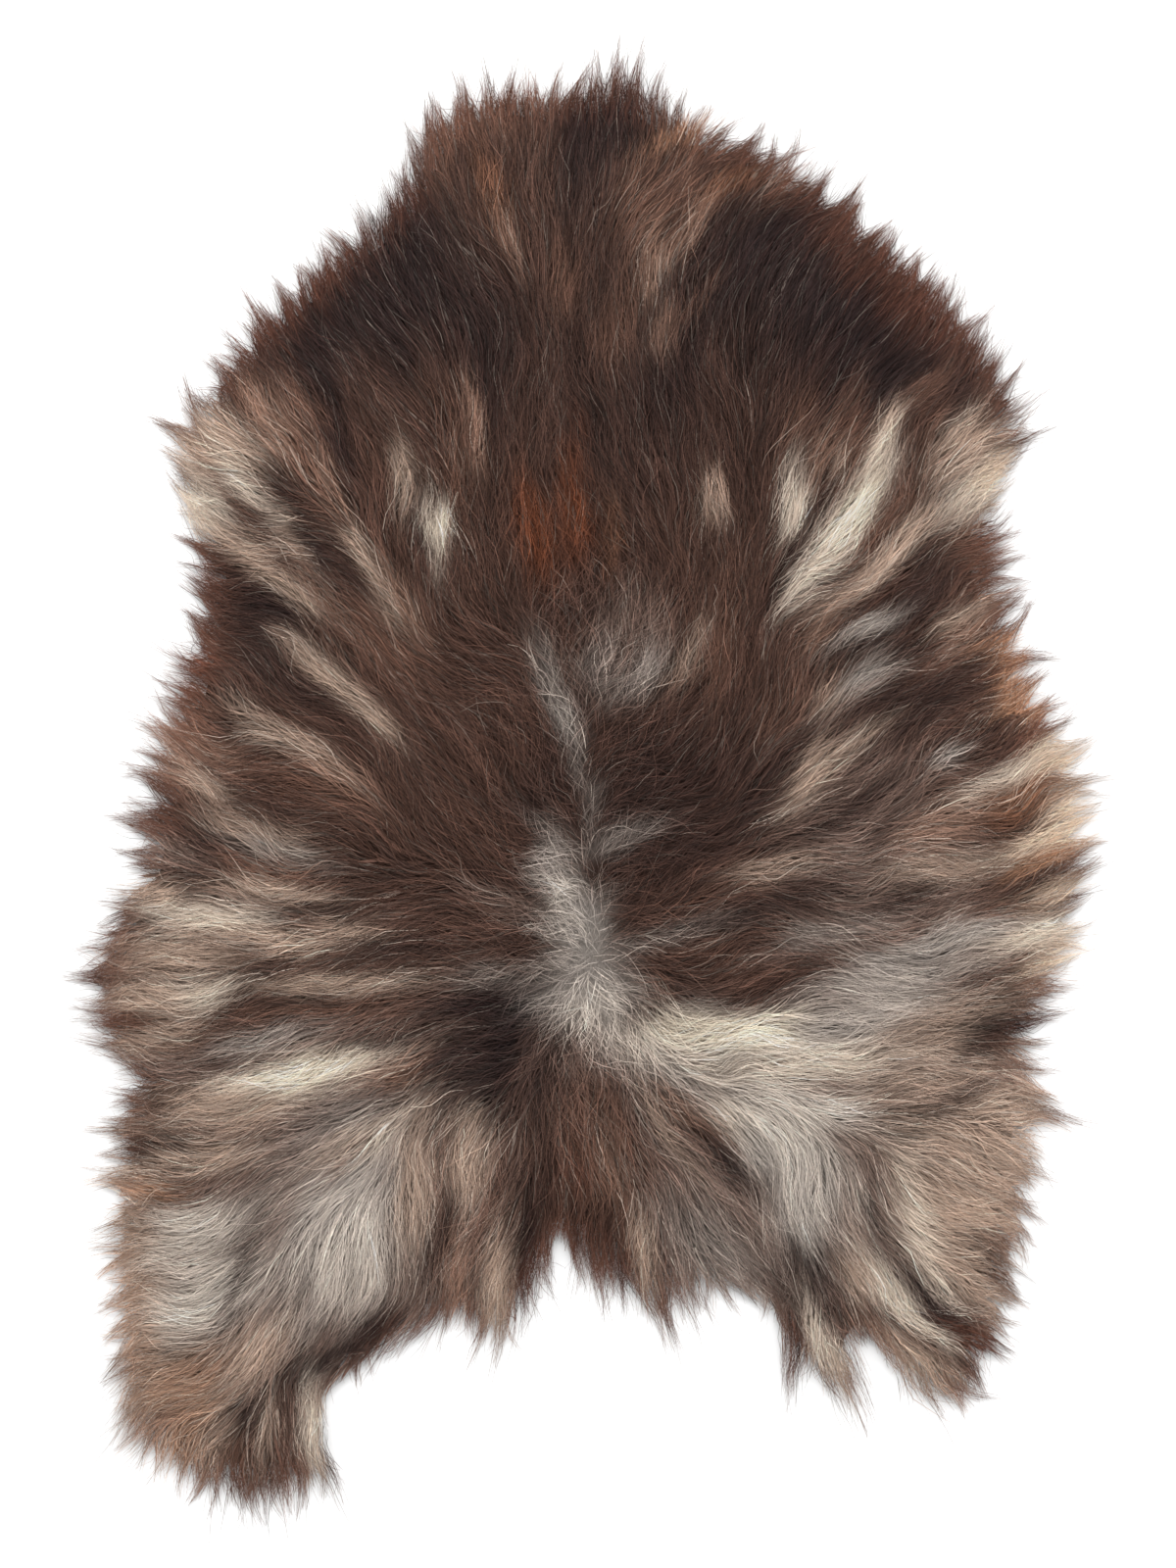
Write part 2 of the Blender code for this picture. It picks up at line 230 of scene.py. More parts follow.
# The way the wool lies: at each place, the direction from root to tip
flow = rowsOf("""
neckMiddle 0 450 89
neckLeftInner -50 475 96
neckLeft -100 475 98
napeLeft -125 425 107
napeLeftLow -100 400 116
shoulderLeft -200 350 127
foreLeft -250 300 135
armpitLeft -250 225 143
withersLeftOuter -150 225 114
withersLeft -125 200 99
ribLeftTop -200 150 139
ribLeftInner -150 100 131
backLeft -100 50 127
backLeftInner -50 50 120
ribLeft -200 50 150
ribLeftOuter -275 50 150
bellyLeftTop -300 0 160
bellyLeftInner -200 -25 156
backLeftLow -100 -25 150
backLeftLower -50 -60 152
loinLeftInner -100 -100 169
loinLeft -200 -100 171
bellyLeft -300 -100 174
flankLeftRim -350 -130 177
loinLeftArc -100 -150 178
loinLeftArcMiddle -200 -140 186
loinLeftArcOuter -270 -160 192
flankLeftLow -300 -175 200
flankLeftDark -350 -175 174
whorlLeft -100 -200 212
hipLeft -200 -225 191
hipLeftRim -300 -250 186
thighLeftTop -200 -275 211
thighLeft -250 -325 233
thighLeftRim -300 -350 198
shankLeftRim -325 -400 211
thighLeftInner -200 -350 262
thighLeftLow -150 -350 270
thighLeftHem -150 -430 240
rumpLeftOuter -100 -300 273
rumpLeft -50 -300 264
footLeft -300 -450 225
footLeftLow -250 -500 261
footLeftInner -210 -500 279
rumpTop 0 -250 270
rump 25 -325 276
rumpLow 50 -375 287
rumpRight 75 -250 303
thighRightInner 100 -280 307
thighRightCrease 150 -300 275
loinRightLow 150 -200 354
loinRightLower 200 -225 345
hipRight 250 -250 338
thighRight 200 -300 285
thighRightOuter 250 -325 300
thighRightRim 300 -300 315
shankRight 300 -350 306
shankRightInner 275 -375 299
footRightInner 250 -400 315
footRight 275 -430 307
hangingLockDark 150 -430 270
hangingLockPale 185 -440 290
loinRight 100 -175 1
loinRightMiddle 200 -175 16
flankRight 300 -175 6
flankRightLow 325 -225 340
loinRightTop 100 -100 11
backRightOuter 200 -100 15
bellyRight 300 -100 18
bellyRightRim 350 -50 18
spineRight 50 -50 18
backRightLow 100 0 24
backRightMiddle 200 0 41
bellyRightTop 300 0 24
spineRightTop 50 50 37
backRight 100 50 45
ribRightInner 200 75 41
ribRight 300 75 30
withersRightLow 50 100 60
withersRight 100 125 78
ribRightTop 200 150 37
armpitRight 275 150 30
armpitRightRim 300 125 18
withersRightTop 150 200 66
foreRightInner 225 225 53
foreRight 275 225 45
foreRightRim 300 275 37
withersMiddle 100 250 90
withersCentre 0 300 90
withersCentreLow 0 200 90
spineTop 0 140 92
shoulderRight 200 325 66
shoulderRightRim 275 325 60
shoulderRightTop 100 350 69
neckRightLow 50 350 76
neckRightMiddle 75 400 63
neckRight 125 425 49
neckRightRim 100 465 27
napeRight 175 400 56
neckCrest 25 475 84
""", ("name", "x", "y", "heading"))

# Tips of the tufts that stand out of the outline, clockwise from the neck's crest
tufts = rowsOf("""
crest 25 549
crestMiddle 37 538
crestRight 50 526
crestRightLow 72 505
neckRight 92 498
neckRightLock 112 490
neckRightLow 128 474
napeLock 160 472
napeLockLow 178 454
shoulderCurl 200 435
shoulderTop 213 407
shoulder 226 401
shoulderLow 241 394
shoulderSide 259 379
shoulderSideLow 279 368
foreTop 293 346
fore 301 338
foreLow 314 321
foreTipTop 320 300
foreTip 332 284
foreTipLow 329 260
armpitTop 313 238
armpit 309 215
armpitLow 320 186
armpitLower 315 168
ribCurl 322 139
ribTop 325 112
rib 332 98
ribLow 336 76
ribLower 346 56
swellTop 356 40
swell 372 25
swellLow 380 5
belly 378 -20
bellyMiddle 376 -44
bellyLow 378 -62
bellyLower 373 -82
flankTop 370 -110
flank 361 -130
flankLow 354 -150
flankDark 349 -174
flankNotch 336 -198
thighTop 341 -215
thighTopLow 345 -234
thighCurl 356 -252
thighNotch 330 -272
thigh 341 -298
thighLow 327 -322
shank 326 -344
shankLow 318 -364
heel 316 -385
heelLow 307 -408
toe 300 -425
toeLow 292 -440
toeInner 285 -469
foot 264 -474
footInner 246 -462
footLock 232 -448
paleLock 216 -475
paleLockInner 200 -466
paleLockMiddle 182 -440
darkLock 149 -465
darkLockInner 140 -400
innerThigh 119 -384
innerThighLow 104 -386
rumpLock 92 -413
rumpRight 80 -396
tailRight 62 -420
tail 46 -402
tailMiddle 30 -386
tailLow 12 -386
tailLeft -8 -378
tailNotch -28 -384
rumpDark -44 -404
rumpPale -62 -427
rumpPaleLeft -76 -420
rumpLeft -88 -404
innerThighLeft -105 -400
thighHem -122 -422
thighHemLow -140 -434
thighHemLower -158 -434
thighHemEnd -176 -437
crook -192 -444
footCrook -196 -470
footPale -188 -535
footPaleLow -207 -530
footMiddle -226 -545
footMiddleLeft -241 -541
footTip -253 -549
footTipLeft -266 -538
footBrown -283 -540
toeLeft -303 -517
toeOuter -321 -514
toeOuterTop -340 -503
footOuter -355 -490
shankLow -351 -468
shank -352 -448
shankTop -355 -428
thighLow -354 -404
thighLower -358 -384
thighTip -368 -346
thigh -356 -322
thighTop -366 -290
thighTopLow -363 -258
hip -352 -228
hipTop -354 -204
flankDark -373 -190
flank -379 -168
flankTop -379 -144
flankTopMost -371 -120
bellyLow -356 -88
belly -352 -52
bellyTop -348 -22
ribLow -341 18
rib -329 52
ribMiddle -318 76
ribTop -312 98
armpitLow -297 124
armpit -294 152
armpitTop -296 182
foreLow -304 214
foreMiddle -306 242
foreTip -322 270
fore -304 284
foreTop -281 313
shoulder -268 331
shoulderMiddle -252 353
shoulderTop -232 373
napeLow -205 391
nape -184 406
napeTop -171 430
neckLow -150 434
neckLower -141 461
neckCorner -130 482
neckCornerTop -115 506
neckCurl -92 518
neck -74 521
neckMiddle -60 521
neckTop -46 528
neckCrown -31 523
neckCrownRight -15 518
neckBelowCrest 2 512
crestLeft 13 536
""", ("name", "x", "y"))

# Gaps between the hanging locks, which the wool leaves free
gaps = rowsOf("""
besideThePaleLock 212 -442 -60 36 11
betweenTheLocks 158 -456 -86 22 5
besideTheDarkLock 134 -424 -80 28 8
atTheTail -22 -352 -90 20 6
""", ("name",) + ovalColumns)

# How many mm a gap takes from the hair's reach and from the under wool, and when it drops a wisp
clearing = {"hair": 90.0, "underWool": 20.0, "wisps": 0.25}

wool = {
    "seed": 11,
    "gridCell": 3.0,
    "gridHalf": (400.0, 570.0),
    "gridMargin": 70.0,
    "rimHeight": 13.0,  # as in the solid
    "loft": 43.0,
    "loftDistance": 42.0,
    "leastReach": 12.0,
    "tipFall": 0.86,  # how much lower the wool lies at its tips past the rim
    "tipHeight": 0.12,
    "flowBlend": 14.0,  # how far a flow row's own place outweighs its neighbours
    "flowFocus": 1.7,
    "bend": 34.0,  # degrees that the flow may swing over a hand's width
    "bendSize": 58.0,
    "fineBend": 26.0,  # and over a finger's length
    "fineBendSize": 27.0,
    "swingEnds": 40.0,  # how far past the rim the swings have died out, and over what distance
    "swingFade": 60.0,
    "streakStep": 4.0,
    "steps": 16,
}

# The spine line, where the wool parts, is short and lies still
spine = {"x": -4.0, "y": -30.0, "halfLength": 150.0, "reach": 62.0, "stillness": 0.75}


def closedCurve(corners, steps):
    # A smooth closed curve through the corners, as rows of values
    corners = np.asarray(corners)
    rows = [np.roll(corners, k, axis=0) for k in (1, 0, -1, -2)]
    points = []
    for step in range(steps):
        t = step / steps
        weights = (
            -0.5 * t + t**2 - 0.5 * t**3,
            1 - 2.5 * t**2 + 1.5 * t**3,
            0.5 * t + 2 * t**2 - 1.5 * t**3,
            -0.5 * t**2 + 0.5 * t**3,
        )
        points.append(sum(w * r for w, r in zip(weights, rows)))
    return np.stack(points, axis=1).reshape(-1, corners.shape[1])


rimAngle = np.radians(rim["heading"])
rimCurve = closedCurve(
    np.column_stack([rim["x"], rim["y"], rim["reach"], np.cos(rimAngle), np.sin(rimAngle)]), 5
)

gridLow = -np.array(wool["gridHalf"]) - wool["gridMargin"]
gridSize = tuple(int(2 * (half + wool["gridMargin"]) / wool["gridCell"]) + 1 for half in wool["gridHalf"])
gridX, gridY = np.meshgrid(
    gridLow[0] + np.arange(gridSize[0]) * wool["gridCell"],
    gridLow[1] + np.arange(gridSize[1]) * wool["gridCell"],
    indexing="ij",
)


def sample(grid, x, y):
    # Reads a grid between its points, and a little inside its last ones
    inset = 1.001
    u = np.clip((x - gridLow[0]) / wool["gridCell"], 0, gridSize[0] - inset)
    v = np.clip((y - gridLow[1]) / wool["gridCell"], 0, gridSize[1] - inset)
    i = u.astype(int)
    j = v.astype(int)
    fu = u - i
    fv = v - j
    if grid.ndim == 3:
        fu = fu[..., None]
        fv = fv[..., None]
    low = grid[i, j] * (1 - fu) + grid[i + 1, j] * fu
    high = grid[i, j + 1] * (1 - fu) + grid[i + 1, j + 1] * fu
    return low * (1 - fv) + high * fv


def depthGrid():
    # Distance inside the rim, negative outside, and the nearest place along the rim
    x = gridX.ravel()
    y = gridY.ravel()
    best = np.full(x.shape, np.inf)
    nearest = np.zeros(x.shape, dtype=int)
    crossings = np.zeros(x.shape, dtype=int)
    count = len(rimCurve)
    for k in range(count):
        ax, ay = rimCurve[k, :2]
        bx, by = rimCurve[(k + 1) % count, :2]
        dx, dy = bx - ax, by - ay
        t = np.clip(((x - ax) * dx + (y - ay) * dy) / (dx * dx + dy * dy), 0, 1)
        gap = np.hypot(x - ax - t * dx, y - ay - t * dy)
        closer = gap < best
        best[closer] = gap[closer]
        nearest[closer] = (k + (t[closer] > 0.5)) % count
        if dy:
            between = (ay > y) != (by > y)
            crossings += between & (x < ax + (y - ay) * dx / dy)
    depth = np.where(crossings % 2 == 1, best, -best)
    return depth.reshape(gridSize), nearest.reshape(gridSize)


depthMap, nearestRim = depthGrid()
reachMap = rimCurve[nearestRim, 2]


def flowGrid():
    # The wool's direction everywhere, blended from the rows of the flow and of the rim
    angle = np.radians(np.concatenate([flow["heading"], rim["heading"]]))
    gx = np.concatenate([flow["x"], rim["x"]])
    gy = np.concatenate([flow["y"], rim["y"]])
    total = np.zeros(gridSize + (2,))
    for x, y, a in zip(gx, gy, angle):
        weight = ((gridX - x) ** 2 + (gridY - y) ** 2 + wool["flowBlend"] ** 2) ** -wool["flowFocus"]
        total[..., 0] += weight * math.cos(a)
        total[..., 1] += weight * math.sin(a)
    return total / np.linalg.norm(total, axis=2, keepdims=True)


def spineNearness(x, y):
    # 1 on the spine line, falling to 0 away from it
    past = np.maximum(np.abs(y - spine["y"]) - spine["halfLength"], 0)
    return np.exp(-((np.hypot(x - spine["x"], past) / spine["reach"]) ** 2))


# Places where the wool lies straight, and how far round them
calmPlaces = rowsOf("""
leftThighDome -185 -330 105 0.75
rightThighDome 165 -285 75 0.7
leftShoulder -165 345 120 0.6
rightShoulder 190 335 120 0.6
neck 0 420 110 0.6
rump 0 -270 70 0.5
""", ("name", "x", "y", "size", "share"))


def waviness(x, y):
    # 1 where the locks swing freely, less where the wool lies straight
    free = 1 - spine["stillness"] * spineNearness(x, y)
    for px, py, size, share in eachRow(calmPlaces, ("x", "y", "size", "share")):
        free = free * (1 - share * np.exp(-((x - px) ** 2 + (y - py) ** 2) / size**2))
    return free


def turned(direction, angle):
    c = np.cos(angle)[..., None]
    s = np.sin(angle)[..., None]
    return np.concatenate(
        [direction[..., :1] * c - direction[..., 1:] * s, direction[..., :1] * s + direction[..., 1:] * c],
        axis=-1,
    )


def swungFlow(straight):
    # The flow with the waves that neighbouring locks share
    loose = waviness(gridX, gridY) * eased((depthMap + wool["swingEnds"]) / wool["swingFade"])
    swing = wool["bend"] * softNoise(gridX, gridY, wool["bendSize"], 31)
    swing += wool["fineBend"] * softNoise(gridX, gridY, wool["fineBendSize"], 32)
    return turned(straight, np.radians(swing) * loose)


straightFlow = flowGrid()
flowMap = swungFlow(straightFlow)


def streakGrid(size, reach, seed):
    # Streaks that run along the flow: noise averaged along it, both ways, from each place
    total = softNoise(gridX, gridY, size, seed)
    count = 1
    for step in (wool["streakStep"], -wool["streakStep"]):
        x, y = gridX.copy(), gridY.copy()
        for again in range(int(reach / wool["streakStep"])):
            direction = sample(flowMap, x, y)
            x += direction[..., 0] * step
            y += direction[..., 1] * step
            total = total + softNoise(x, y, size, seed)
            count += 1
    streaks = total / count
    return streaks / streaks[depthMap > 0].std()


streakMap = streakGrid(9, 40, 61)
fineStreakMap = streakGrid(5.5, 24, 62)


def surfaceGrid():
    # The height of the wool's surface above the floor
    risen = 1 - np.exp(-np.maximum(depthMap, 0) / wool["loftDistance"])
    height = wool["rimHeight"] + (wool["loft"] - wool["rimHeight"]) * risen
    for *oval, rise in eachRow(lumps, ovalColumns + ("rise",)):
        along, aside = inOval(gridX, gridY, *oval)
        height += rise * np.exp(-(along**2) - aside**2) * risen
    outside = np.maximum(-depthMap, 0) / np.maximum(reachMap, wool["leastReach"])
    return height * np.clip(1 - wool["tipFall"] * outside, wool["tipHeight"], 1)


surfaceMap = surfaceGrid()
print("plan of the skin: depth, flow and height maps made")


# Colours of the wool

tones = {
    "nearBlack": (38, 27, 26),
    "dark": (53, 39, 35),
    "darkBrown": (74, 55, 48),
    "brown": (98, 74, 64),
    "warmBrown": (112, 80, 64),
    "rust": (104, 62, 45),
    "redBrown": (88, 58, 48),
    "greyBrown": (116, 99, 91),
    "grey": (128, 119, 113),
    "tan": (134, 108, 95),
    "golden": (158, 122, 100),
    "beige": (166, 146, 132),
    "silver": (165, 157, 150),
    "paleGrey": (188, 179, 170),
    "cream": (206, 192, 178),
    "paleCream": (224, 212, 194),
    "blond": (214, 192, 172),
    "tipBrown": (116, 74, 58),
}
toneNames = list(tones)
toneTable = np.array([linear(tones[name]) for name in toneNames])

